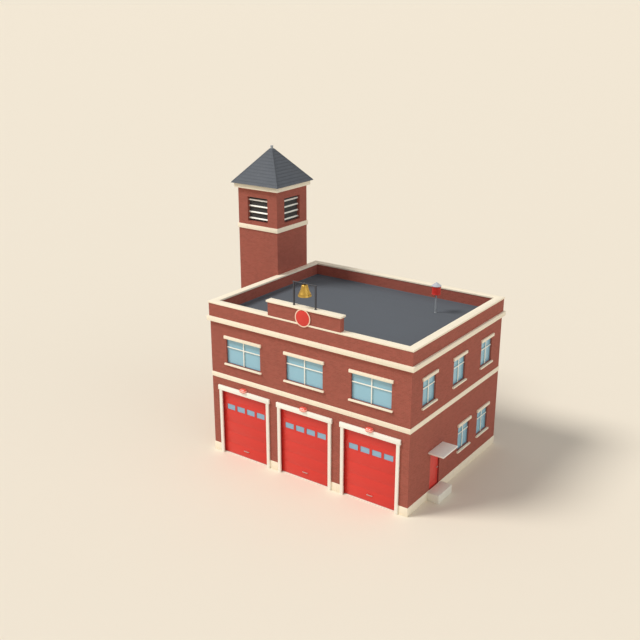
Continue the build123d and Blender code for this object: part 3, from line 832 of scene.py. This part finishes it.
@dataclass
class Masonry:
    """Walls, bands, slabs and dressings: brick faces kept, stone edges eased."""

    edge: float = 0.012
    fine_edge: float = 0.006

    def build(self) -> None:
        """Dress every piece of masonry."""
        walls = [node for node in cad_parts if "_wall_" in node]
        for node in (*walls, "parapet", "sign_block", "tower_shaft", "tower_belfry"):
            painted(node, Palette.BRICK)
        for node in ("floor_slab", "upper_floor"):
            painted(node, Palette.CONCRETE)
        bands = ("plinth", "string_course", "cornice", "coping", "sign_coping")
        for node in (*bands, "tower_plinth", "tower_belt", "tower_cornice"):
            eased(f"{node}_eased", node, self.edge, Palette.STONE)
        for node in ("window_lintels", "window_sills"):
            eased(f"{node}_eased", node, self.fine_edge, Palette.DRESSED)
        eased("canopy_eased", "canopy", self.edge, Palette.CANOPY)
        eased("step_block_eased", "step_block", self.edge, Palette.CONCRETE)
        eased("bay_surrounds_eased", "bay_surrounds", self.edge, Palette.SURROUND)


@dataclass
class Windows:
    """Rims, bars and glass of all the windows."""

    bar: float = 0.062
    bar_depth: float = 0.044
    bite: float = 0.002
    transom_share: float = 0.655
    bar_edge: float = 0.006
    rim_edge: float = 0.004

    def build(self) -> None:
        """Make the bars for each window and paint the rims and the glass."""
        painted("window_glass", Palette.GLASS)
        paint = Palette.FRAME_PAINT
        eased("window_rims", "window_frames", self.rim_edge, paint)
        patterns: dict[float, Piece] = {}
        crosses = []
        for low, high in solids_of("window_frames"):
            size = high - low
            width = round(max(size.x, size.y), 3)
            if width not in patterns:
                patterns[width] = self.cross(width, size.z)
            crosses.append(copied(patterns[width], self.placed(low, high)))
        for pattern in patterns.values():
            bpy.data.objects.remove(pattern)
        deliver(joined("window_bars", crosses), Palette.SURROUND)

    def cross(self, width: float, height: float) -> Piece:
        """Model a mullion and transom for one window.

        Args:
            width: Width of the window.
            height: Height of the window.

        Returns:
            The crossing bars, centred on X and Y, with their foot at Z 0.
        """
        half = width / 2
        bpy.ops.mesh.primitive_grid_add(
            x_subdivisions=2, y_subdivisions=2, size=1, rotation=(math.pi / 2, 0, 0)
        )
        piece = named("bars")
        stretch = Matrix.Diagonal((width, 1, height, 1))
        piece.matrix_world = Matrix.Translation((0, 0, height / 2)) @ stretch
        settle(piece)
        with editing(piece):
            pick_edges(piece, lambda at, way: abs(at.z - height / 2) < 0.01)
            rise = height * (self.transom_share - 0.5)
            bpy.ops.transform.translate(value=(0, 0, rise))
            pick_faces(piece, lambda at, way: True)
            bpy.ops.mesh.inset(thickness=self.bar / 2, use_individual=True)
            bpy.ops.mesh.delete(type="FACE")
            rim = self.bar / 2 - 0.001
            pick_faces(
                piece,
                lambda at, way: abs(at.x) > half - rim or not rim < at.z < height - rim,
            )
            bpy.ops.mesh.delete(type="FACE")
        modified(piece, "SOLIDIFY", thickness=self.bar_depth, offset=0)
        return chamfer(piece, self.bar_edge)

    def placed(self, low: Vector, high: Vector) -> Matrix:
        """Find the place of a window's bars from its frame's box.

        Args:
            low: Lowest corner of the frame.
            high: Highest corner of the frame.

        Returns:
            The matrix that carries the modelled bars into the wall.
        """
        centre, size = (low + high) / 2, high - low
        foot = Vector((centre.x, centre.y, low.z))
        if size.x > size.y:
            turn = 0.0 if centre.y < size.x else math.pi
        else:
            turn = math.pi / 2 if centre.x > size.y else -math.pi / 2
        step_out = (min(size.x, size.y) + self.bar_depth) / 2 - self.bite
        forward = Matrix.Rotation(turn, 4, "Z") @ Vector((0, -step_out, 0))
        return Matrix.Translation(foot + forward) @ Matrix.Rotation(turn, 4, "Z")


@dataclass
class BayDoors:
    """Sectional doors of the appliance bays, with their lights, seals, handles and lamps."""

    section: float = 0.72
    seam: float = 0.006
    seal: float = 0.020
    bead: float = 0.022
    bead_proud: float = 0.006
    grip_edge: float = 0.010
    guide_thick: float = 0.012
    bead_set: float = 0.012
    bead_edge: float = 0.003
    guide_edge: float = 0.003
    seal_edge: float = 0.008
    seal_inset: float = 0.010
    lamp_edge: float = 0.004
    # Half the height of the painted highlight band across each lamp.
    highlight_half: float = 0.040

    def build(self) -> None:
        """Make the sections of each door and what is fixed to them."""
        painted("bay_door_glass", Palette.DOOR_GLASS)
        lights = solids_of("bay_door_glass")
        sections, seals, guides = [], [], []
        for low, high in solids_of("bay_doors"):
            own = [box for box in lights if low.x < box[0].x < high.x]
            sections += self.sections(low, high, own)
            seals.append(self.foot_seal(low, high))
            guides += self.guides(low, high)
        doors = joined("bay_door_sections", sections)
        deliver(doors, Palette.RED, stands_for=("bay_doors",))
        # The guides' darker red is painted shade of the doorway's reveals.
        deliver(joined("bay_door_seals", seals), Palette.DARK_RED)
        deliver(joined("bay_door_guides", guides), Palette.DARK_RED)
        beads = joined("bay_light_beads", [self.light_bead(low, high) for low, high in lights])
        deliver(beads, Palette.RED)
        eased("bay_door_grips", "bay_door_handles", self.grip_edge, Palette.STEEL)
        self.lamps()

    def sections(self, low: Vector, high: Vector, lights: Sequence[Box]) -> list[Piece]:
        """Model the stacked sections of one door.

        Args:
            low: Lowest corner of the door.
            high: Highest corner of the door.
            lights: Boxes of the lights in it.

        Returns:
            One piece for each section.
        """
        pieces = []
        foot = low.z + self.seal
        count = round((high.z - low.z) / self.section)
        for i in range(count):
            top = high.z if i == count - 1 else low.z + self.section * (i + 1)
            piece = cuboid("section", (low.x, low.y, foot), (high.x, high.y, top))
            reach = Vector((0, high.y - low.y, 0))
            for light_low, light_high in lights:
                if foot < light_low.z < top:
                    cut(piece, cuboid("cutter", light_low - reach, light_high + reach))
            pieces.append(chamfer(piece, self.seam))
            foot = top
        return pieces

    def foot_seal(self, low: Vector, high: Vector) -> Piece:
        """Model the soft seal under one door."""
        inset = Vector((0, self.seal_inset, 0))
        top = Vector((high.x, high.y, low.z + self.seal))
        return chamfer(cuboid("seal", low + inset, top - inset), self.seal_edge, 3)

    def guides(self, low: Vector, high: Vector) -> list[Piece]:
        """Model the guides that line both sides of one doorway in front of the door; their dark
        red is painted shade of the reveal.
        """
        wall_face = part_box("front_wall_lower")[0].y
        pieces = []
        for side, inward in ((low.x, self.guide_thick), (high.x, -self.guide_thick)):
            near = (min(side, side + inward), wall_face, low.z)
            far = (max(side, side + inward), low.y, high.z)
            pieces.append(chamfer(cuboid("guide", near, far), self.guide_edge, 1))
        return pieces

    def light_bead(self, low: Vector, high: Vector) -> Piece:
        """Model the glazing bead round one light.

        Args:
            low: Lowest corner of the pane.
            high: Highest corner of the pane.

        Returns:
            A thin rim that stands in front of the door's face.
        """
        door_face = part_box("bay_doors")[0].y
        width = Vector((self.bead, 0, self.bead))
        outer_low = Vector((low.x, door_face - self.bead_proud, low.z)) - width
        outer_high = Vector((high.x, door_face + self.bead_set, high.z)) + width
        piece = cuboid("bead", outer_low, outer_high)
        with editing(piece):
            pick_faces(piece, lambda at, way: abs(way.y) > 0.9)
            bpy.ops.mesh.inset(thickness=self.bead, use_individual=True)
            bpy.ops.mesh.bridge_edge_loops()
        return chamfer(piece, self.bead_edge)

    def lamps(self) -> None:
        """Make the lamp over each bay: a red lens above and below a paler band, which is a painted
        highlight.
        """
        low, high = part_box("bay_lamps")
        foot = (low.z + high.z) / 2 - self.highlight_half
        head = foot + 2 * self.highlight_half
        highlight_band, upper, lower = (
            softened(name, "bay_lamps", self.lamp_edge)
            for name in ("bay_lamp_highlight_bands", "upper_lens", "lower_lens")
        )
        for piece, level, keep_top in (
            (highlight_band, head, False),
            (highlight_band, foot, True),
            (upper, head, True),
            (lower, foot, False),
        ):
            self.trim(piece, level, keep_top)
        lens = joined("bay_lamp_lenses", [upper, lower])
        deliver(lens, Palette.LENS, stands_for=("bay_lamps",))
        deliver(highlight_band, Palette.LENS_BAND)

    @staticmethod
    def trim(piece: Piece, level: float, keep_top: bool) -> None:
        """Cut a piece level and throw one side away.

        Args:
            piece: The piece that is cut.
            level: Height of the cut.
            keep_top: Whether what is above the cut stays, and not what is below it.
        """
        with editing(piece):
            bpy.ops.mesh.select_all(action="SELECT")
            bpy.ops.mesh.bisect(
                plane_co=(0, 0, level),
                plane_no=(0, 0, 1),
                use_fill=True,
                clear_outer=not keep_top,
                clear_inner=keep_top,
            )


@dataclass
class SideDoor:
    """The side door's frame, its hung leaf and its lever."""

    edge: float = 0.003
    rose_radius: float = 0.028
    rose_thick: float = 0.008
    rose_edge: float = 0.002
    keyhole_drop: float = 0.09
    keyhole_share: float = 0.7
    kick_inset: float = 0.04
    kick_top: float = 0.24
    kick_thick: float = 0.0015
    lining: float = 0.004
    sill: float = 0.001

    def build(self) -> None:
        """Make the frame, the leaf and its furniture."""
        self.reveal()
        for node, finish, slot, body in (
            # The side door frame's darker red is painted shade of the doorway's far reveal.
            ("side_door_frame", Palette.DARK_RED, "red_paint", "building"),
            ("side_door_leaf", Palette.DOOR_RED, "red_paint", "side_door"),
            ("side_door_handle", Palette.STEEL, "steel", "side_door"),
        ):
            eased(f"{node}_eased", node, self.edge, finish, body)
        low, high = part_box("side_door_handle")
        leaf_low, leaf_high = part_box("side_door_leaf")
        face = low.x
        stem_y = high.y - (high.z - low.z) / 2
        roses = []
        for drop, share in ((0.0, 1.0), (self.keyhole_drop, self.keyhole_share)):
            level = (low.z + high.z) / 2 - drop
            start, end = (face, stem_y, level), (face + self.rose_thick, stem_y, level)
            roses.append(rod("rose", start, end, self.rose_radius * share, 32))
        furniture = joined("side_door_rose", [chamfer(rose, self.rose_edge) for rose in roses])
        deliver(furniture, Palette.STEEL, "side_door")
        inset = self.kick_inset
        near = (face, leaf_low.y + inset, leaf_low.z + inset)
        far = (face + self.kick_thick, leaf_high.y - inset, leaf_low.z + self.kick_top)
        kick = chamfer(cuboid("side_door_kick_plate", near, far), self.kick_thick / 3, 1)
        deliver(kick, Palette.DOOR_RED, "side_door")

    def reveal(self) -> None:
        """Line the doorway in front of the frame in dark red that is painted shade of the reveal,
        and lay a plate on its sill.
        """
        low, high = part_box("side_door_frame")
        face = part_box("right_wall_lower")[1].x
        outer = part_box("plinth")[1].x
        sheet = self.lining
        boxes = [
            ((high.x, low.y, low.z), (face, low.y + sheet, high.z)),
            ((high.x, high.y - sheet, low.z), (face, high.y, high.z)),
            ((high.x, low.y, high.z - sheet), (face, high.y, high.z)),
            ((low.x, low.y, low.z), (outer, high.y, low.z + self.sill)),
        ]
        pieces = [cuboid("lining", first, last) for first, last in boxes]
        lining = chamfer(joined("side_door_lining", pieces), self.sill / 3, 1)
        deliver(lining, Palette.DARK_RED)


@dataclass
class Medallion:
    """The bare red disc on the sign block and the ring round it."""

    edge: float = 0.012

    def build(self) -> None:
        """Make the disc and the ring."""
        disc, ring = "medallion_disc", "medallion_ring"
        eased(f"{disc}_eased", disc, self.edge, Palette.RED)
        eased(f"{ring}_eased", ring, self.edge, Palette.RING)


@dataclass
class RoofBell:
    """The bell, its clapper and the frame it swings in."""

    wall: float = 0.030
    bar_radius: float = 0.030
    eye_wall: float = 0.030
    eye_width: float = 0.090
    eye_play: float = 0.0003
    eye_edge: float = 0.004
    drop: float = 0.050
    post_inset: float = 0.080
    post_edge: float = 0.006
    plate_half: float = 0.060
    plate_thick: float = 0.012
    plate_edge: float = 0.003
    bolt_inset: float = 0.049
    bolt_radius: float = 0.007
    bolt_height: float = 0.022
    bolt_edge: float = 0.001
    clapper_radius: float = 0.045
    # Radius and drop below the crown, outside and then inside.
    waist: Outline = (
        (0.105, 0.001), (0.142, 0.010), (0.166, 0.028), (0.180, 0.056),
        (0.190, 0.090), (0.198, 0.094), (0.200, 0.106), (0.196, 0.112),
        (0.212, 0.190), (0.236, 0.280), (0.268, 0.370), (0.305, 0.450),
        (0.332, 0.500), (0.342, 0.504), (0.348, 0.518), (0.346, 0.526),
    )
    hollow: Outline = ((0.312, 0.530), (0.270, 0.440), (0.206, 0.280), (0.162, 0.100))
    # Distance in from the rim and height over the mouth.
    lip: Outline = ((0.024, 0.070), (0.006, 0.024), (0.0, 0.012), (0.006, 0.0))

    def build(self) -> None:
        """Make the bell, the clapper and the frame's fixings."""
        low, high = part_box("bell")
        frame_low, frame_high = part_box("bell_frame")
        bar_level = frame_high.z - self.bar_radius
        mouth = Vector(((low.x + high.x) / 2, (low.y + high.y) / 2, low.z))
        crown = bar_level - self.drop - low.z
        body = self.body(mouth, (high.x - low.x) / 2, crown)
        deliver(body, Palette.BELL, "bell", stands_for=("bell",))
        eye = self.eye(Vector((mouth.x, mouth.y, bar_level)))
        deliver(eye, Palette.IRON, "bell")
        clapper = self.clapper(mouth, crown - self.wall)
        deliver(clapper, Palette.IRON, "bell")
        posts = softened("bell_frame_eased", "bell_frame", self.post_edge)
        whole = joined("bell_frame_eased", [posts, *self.plates(frame_low, frame_high)])
        deliver(whole, Palette.IRON, stands_for=("bell_frame",))

    def body(self, centre: Vector, mouth: float, crown: float) -> Piece:
        """Turn the bell itself.

        Args:
            centre: Centre of the mouth.
            mouth: Radius of the mouth.
            crown: Height of the flat crown over the mouth.

        Returns:
            The bell with its shoulder, its mouldings, its lip and its hollow.
        """
        inside = crown - self.wall
        outline = [
            (0.0, crown),
            *((radius, crown - drop) for radius, drop in self.waist),
            *((mouth - inset, height) for inset, height in self.lip),
            (mouth - self.wall, 0.004),
            *((radius, crown - drop) for radius, drop in self.hollow),
            (0.130, inside),
            (0.0, inside),
        ]
        return turned("bell_turned", outline, centre, 64, 35)

    def eye(self, centre: Vector) -> Piece:
        """Model the iron eye that hangs the bell on its bar.

        Args:
            centre: Middle of the eye, on the bar's own line.

        Returns:
            The eye, bored for the bar.
        """
        half, bar = Vector((self.eye_width / 2, 0, 0)), self.bar_radius
        eye = rod("bell_eye", centre - half, centre + half, bar + self.eye_wall, 40)
        reach = 1.2 * half
        bore = rod("bore", centre - reach, centre + reach, bar + self.eye_play, 40)
        return chamfer(cut(eye, bore), self.eye_edge)

    def clapper(self, centre: Vector, top: float) -> Piece:
        """Turn the clapper that hangs inside the bell."""
        ball = self.clapper_radius
        outline = [
            (0.0, top), (0.012, top - 0.002), (0.012, 0.150),
            (ball * 0.6, 0.144), (ball, 0.118), (ball, 0.100), (ball * 0.6, 0.072),
            (0.016, 0.060), (0.012, 0.036), (0.0, 0.032),
        ]
        return turned("bell_clapper", outline, centre, 24, 50)

    def plates(self, low: Vector, high: Vector) -> list[Piece]:
        """Model the base plates under the posts, with their bolts."""
        y, half = (low.y + high.y) / 2, self.plate_half
        pieces = []
        for x in (low.x + self.post_inset, high.x - self.post_inset):
            seat = Vector((x, y, low.z))
            reach = Vector((half, half, 0))
            plate = cuboid("plate", seat - reach, seat + reach + Vector((0, 0, self.plate_thick)))
            pieces.append(chamfer(plate, self.plate_edge))
            for side, end in CORNERS:
                at = seat + Vector((side * self.bolt_inset, end * self.bolt_inset, 0))
                top = at + Vector((0, 0, self.bolt_height))
                bolt = rod("bolt", at, top, self.bolt_radius, 6)
                pieces.append(chamfer(bolt, self.bolt_edge, 1))
        return pieces


@dataclass
class RoofSiren:
    """The siren on its pole: banded drum, pointed cap and collared pole."""

    shaft: float = 0.050
    foot: float = 0.075
    foot_thick: float = 0.015

    def build(self) -> None:
        """Make the drum, the cap and the pole."""
        low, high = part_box("siren_drum")
        centre = (low + high) / 2
        radius = (high.x - low.x) / 2
        tall = high.z - low.z
        outline = [
            (0.0, 0.0), (radius - 0.012, 0.0), (radius, 0.010), (radius, 0.045),
            (radius - 0.014, 0.055), (radius - 0.014, tall - 0.055),
            (radius, tall - 0.045), (radius, tall - 0.010), (radius - 0.008, tall), (0.0, tall),
        ]
        drum = turned("siren_drum_turned", outline, (centre.x, centre.y, low.z), 64)
        deliver(drum, Palette.RED, stands_for=("siren_drum",))
        cap_low, cap_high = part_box("siren_cap")
        eave = (cap_high.x - cap_low.x) / 2
        rise = cap_high.z - cap_low.z
        outline = [
            (0.0, 0.0), (eave - 0.020, 0.0), (eave - 0.004, 0.006), (eave, 0.020),
            (eave - 0.004, 0.036), (eave - 0.016, 0.044), (eave * 0.52, rise * 0.54),
            (0.040, rise - 0.030), (0.024, rise - 0.008), (0.0, rise),
        ]
        cap = turned("siren_cap_turned", outline, (centre.x, centre.y, cap_low.z), 64)
        deliver(cap, Palette.CAP_PAINT, stands_for=("siren_cap",))
        self.pole(centre)

    def pole(self, centre: Vector) -> None:
        """Turn the pole with its foot and its top collar."""
        low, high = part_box("siren_post")
        shaft, foot, thick = self.shaft, self.foot, self.foot_thick
        collar = shaft + 0.018
        tall = high.z - low.z
        outline = [
            (0.0, 0.0), (foot, 0.0), (foot, thick - 0.004), (foot - 0.004, thick),
            (shaft + 0.008, thick), (shaft, thick + 0.010), (shaft, tall - 0.060),
            (collar, tall - 0.056), (collar, tall - 0.006), (shaft + 0.014, tall), (0.0, tall),
        ]
        pole = turned("siren_pole", outline, (centre.x, centre.y, low.z), 40)
        deliver(pole, Palette.POLE_PAINT, stands_for=("siren_post",))


@dataclass
class HoseTower:
    """The top of the hose tower: louvres, slate roof and finial."""

    courses: int = 12
    lap: float = 0.010
    slate_edge: float = 0.003
    least_half: float = 0.020
    hip_radius: float = 0.022
    hip_edge: float = 0.004
    hip_inset: float = 0.050
    hip_rise: float = 0.045
    hip_sink: float = 0.020
    slat_edge: float = 0.006
    opening_half: float = 0.825
    opening_low: float = 13.175
    opening_high: float = 14.775
    screen_depth: float = 0.220
    screen_thick: float = 0.010
    screen_edge: float = 0.002

    def build(self) -> None:
        """Make the louvres with their screens, the slates, the hips and the finial."""
        eased("tower_slats", "tower_louvres", self.slat_edge, Palette.SURROUND)
        self.screens()
        self.roof()
        self.finial()

    def screens(self) -> None:
        """Make the bird screens inside the louvres, dark as painted shade of the belfry's inside.
        """
        low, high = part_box("tower_belfry")
        centre = (low + high) / 2
        front = self.screen_depth - (high.x - low.x) / 2
        foot, head = self.opening_low - centre.z, self.opening_high - centre.z
        screens = []
        for turn in range(4):
            near = (-self.opening_half, front, foot)
            far = (self.opening_half, front + self.screen_thick, head)
            screen = chamfer(cuboid("screen", near, far), self.screen_edge, 1)
            spin = Matrix.Rotation(turn * math.pi / 2, 4, "Z")
            screens.append(copied(screen, Matrix.Translation(centre) @ spin))
            bpy.data.objects.remove(screen)
        deliver(joined("tower_shade_screens", screens), Palette.DARK_MESH_AND_SHADE)

    def roof(self) -> None:
        """Lay the slates course by course inside the roof's own slopes."""
        low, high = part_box("tower_roof")
        centre = (low + high) / 2
        eave = (high.x - low.x) / 2
        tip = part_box("tower_finial")
        tip_half = (tip[1].x - tip[0].x) / 2
        rise = high.z - low.z
        step = rise / self.courses
        layers = []
        for i in range(self.courses):
            foot_half, head_half = (
                eave - (eave - tip_half) * course / self.courses for course in (i, i + 1)
            )
            bpy.ops.mesh.primitive_cone_add(
                vertices=4,
                radius1=foot_half * math.sqrt(2),
                radius2=max(head_half - self.lap, self.least_half) * math.sqrt(2),
                depth=step,
                location=(centre.x, centre.y, low.z + step * (i + 0.5)),
                rotation=(0, 0, math.pi / 4),
            )
            layers.append(chamfer(named("course"), self.slate_edge, 1))
        slates = joined("tower_slates", layers)
        deliver(slates, Palette.SLATE, stands_for=("tower_roof",))
        self.hips(centre, eave, tip_half)

    def hips(self, centre: Vector, eave: float, tip: float) -> None:
        """Lay a roll along each hip of the roof.

        Args:
            centre: Centre of the roof.
            eave: Half the width of the roof at its eaves.
            tip: Half the width of the finial.
        """
        low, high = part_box("tower_roof")
        eave -= self.hip_inset
        rolls = []
        for side, end in CORNERS:
            start = (centre.x + side * eave, centre.y + end * eave, low.z + self.hip_rise)
            stop = (centre.x + side * tip, centre.y + end * tip, high.z - self.hip_sink)
            roll = rod("hip", start, stop, self.hip_radius, 12)
            rolls.append(chamfer(roll, self.hip_edge, 1))
        deliver(joined("tower_hips", rolls), Palette.SLATE)

    @staticmethod
    def finial() -> None:
        """Turn the finial on the tower's point."""
        low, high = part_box("tower_finial")
        centre = Vector(((low.x + high.x) / 2, (low.y + high.y) / 2, low.z))
        half = (high.x - low.x) / 2
        tall = high.z - low.z
        outline = [
            (0.0, -0.03), (half, -0.03), (half, tall * 0.14), (half * 0.9, tall * 0.17),
            (half * 0.9, tall * 0.58), (half, tall * 0.62), (half, tall * 0.86),
            (half * 0.9, tall * 0.95), (half * 0.5, tall * 0.99), (0.0, tall),
        ]
        piece = turned("tower_finial_turned", outline, centre, 32, 40)
        deliver(piece, Palette.POLE_PAINT, stands_for=("tower_finial",))


@dataclass
class RoofDeck:
    """The felted deck and the felt fillet along the foot of the parapet."""

    fillet: float = 0.060
    planed_share: float = 0.9

    def build(self) -> None:
        """Paint the deck and make the fillets."""
        painted("roof_deck", Palette.FELT)
        low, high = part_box("roof_deck")
        size = self.fillet
        strips = [
            ((low.x, low.y, high.z), (high.x, low.y + size, high.z + size), (0, 1)),
            ((low.x, high.y - size, high.z), (high.x, high.y, high.z + size), (0, -1)),
            ((low.x, low.y, high.z), (low.x + size, high.y, high.z + size), (1, 0)),
            ((high.x - size, low.y, high.z), (high.x, high.y, high.z + size), (-1, 0)),
        ]
        pieces = [self.strip(first, last, inward) for first, last, inward in strips]
        deliver(joined("roof_fillets", pieces), Palette.FELT)

    def strip(self, low: Point, high: Point, inward: tuple[int, int]) -> Piece:
        """Model one fillet: a strip with its top inner edge planed away.

        Args:
            low: Lowest corner of the strip.
            high: Highest corner of the strip.
            inward: Direction from the parapet to the middle of the roof.

        Returns:
            The fillet.
        """
        piece = cuboid("fillet", low, high)
        inner = Vector((inward[0], inward[1], 0))
        middle = (Vector(low) + Vector(high)) / 2
        with editing(piece):
            pick_edges(
                piece,
                lambda at, way: (at - middle).dot(inner) > 0.01
                and at.z > middle.z + 0.01
                and abs(way.z) < 0.5
                and abs(way.dot(inner)) < 0.5,
            )
            bpy.ops.mesh.bevel(offset=self.fillet * self.planed_share, segments=1)
        return piece


# ---------------------------------------------------------------- studio


@dataclass
class Studio:
    """Floor, lights, world and camera."""

    backdrop: Colour = tone(242, 232, 213)
    floor_half: float = 20000.0
    key_strength: float = 2.20
    key_angle: float = 20.0
    key_from: tuple[float, float, float] = (-0.48, -0.43, 0.765)
    key_tint: tuple[float, float, float] = (1.0, 0.975, 0.94)
    fill_strength: float = 0.6
    fill_angle: float = 60.0
    fill_tint: tuple[float, float, float] = (0.94, 0.97, 1.0)
    fill_from: tuple[float, float, float] = (0.97, -0.10, 0.20)
    sky_strength: float = 0.45
    sky_tint: Colour = (0.97, 0.98, 1.0, 1.0)
    floor_colour: Colour = tone(238, 228, 210)
    camera_at: tuple[float, float, float] = (35.109, -37.792, 26.608)
    camera_turn: tuple[float, float, float] = (70.629, 0.0, 35.531)
    lens: float = 50.57

    def build(self) -> None:
        """Set the stage, the lights and the camera."""
        self.floor()
        self.sun("key", self.key_from, self.key_strength, self.key_angle, self.key_tint)
        self.sun("fill", self.fill_from, self.fill_strength, self.fill_angle, self.fill_tint)
        self.world()
        self.camera()
        bpy.context.scene.view_settings.view_transform = "Standard"

    def floor(self) -> None:
        """Lay a plain pale floor at the foot of the building."""
        bpy.ops.mesh.primitive_plane_add(size=2 * self.floor_half, location=(0, 0, -0.002))
        floor = named("studio_floor")
        paint = Coating("studio floor paint", self.floor_colour, roughness=0.9, mottle=0.0)
        floor.data.materials.append(paint.material())

    @staticmethod
    def sun(
        name: str, source: Sequence[float], strength: float, angle: float, colour: Sequence[float]
    ) -> None:
        """Hang a distant soft lamp.

        Args:
            name: Name of the lamp.
            source: Direction that the light comes from.
            strength: Strength of the lamp.
            angle: Its apparent width in degrees, which sets how soft its shadows are.
            colour: Its colour.
        """
        bpy.ops.object.light_add(type="SUN", location=Vector(source) * 60)
        lamp = bpy.context.object
        lamp.name = name
        lamp.rotation_euler = Vector(source).to_track_quat("Z", "Y").to_euler()
        lamp.data.energy = strength
        lamp.data.angle = math.radians(angle)
        lamp.data.color = colour

    def world(self) -> None:
        """Light the shadows from all round, and show a plain pale backdrop."""
        world = bpy.data.worlds.new("studio")
        bpy.context.scene.world = world
        world.use_nodes = True
        bench = Bench(world.node_tree)
        background = world.node_tree.nodes["Background"]
        rays = bench.place("ShaderNodeLightPath").outputs
        seen = bench.sum("MAXIMUM", rays["Is Camera Ray"], rays["Is Glossy Ray"])
        seen = bench.sum("MAXIMUM", seen, rays["Is Transmission Ray"])
        colour = bench.blend(seen, self.sky_tint, self.backdrop)
        lift = bench.sum("SUBTRACT", 1.0, self.sky_strength)
        strength = bench.sum("MULTIPLY_ADD", seen, lift, self.sky_strength)
        bench.link(colour, background, "Color")
        bench.link(strength, background, "Strength")

    def camera(self) -> None:
        """Set the camera."""
        turn = [math.radians(angle) for angle in self.camera_turn]
        bpy.ops.object.camera_add(location=self.camera_at, rotation=turn)
        camera = bpy.context.object
        camera.data.lens = self.lens
        camera.data.sensor_width = 36
        camera.data.clip_end = 3 * self.floor_half
        bpy.context.scene.camera = camera


def main() -> None:
    """Build every sub-assembly in order, then the studio, and note the sizes."""
    logging.basicConfig(level=logging.INFO, format="%(name)s: %(message)s")
    bpy.ops.object.select_all(action="DESELECT")
    for assembly in (
        Masonry(),
        Windows(),
        BayDoors(),
        SideDoor(),
        Medallion(),
        RoofBell(),
        RoofSiren(),
        HoseTower(),
        RoofDeck(),
        Studio(),
    ):
        LOG.info("building %s", type(assembly).__name__)
        assembly.build()


if __name__ == "__main__":
    main()
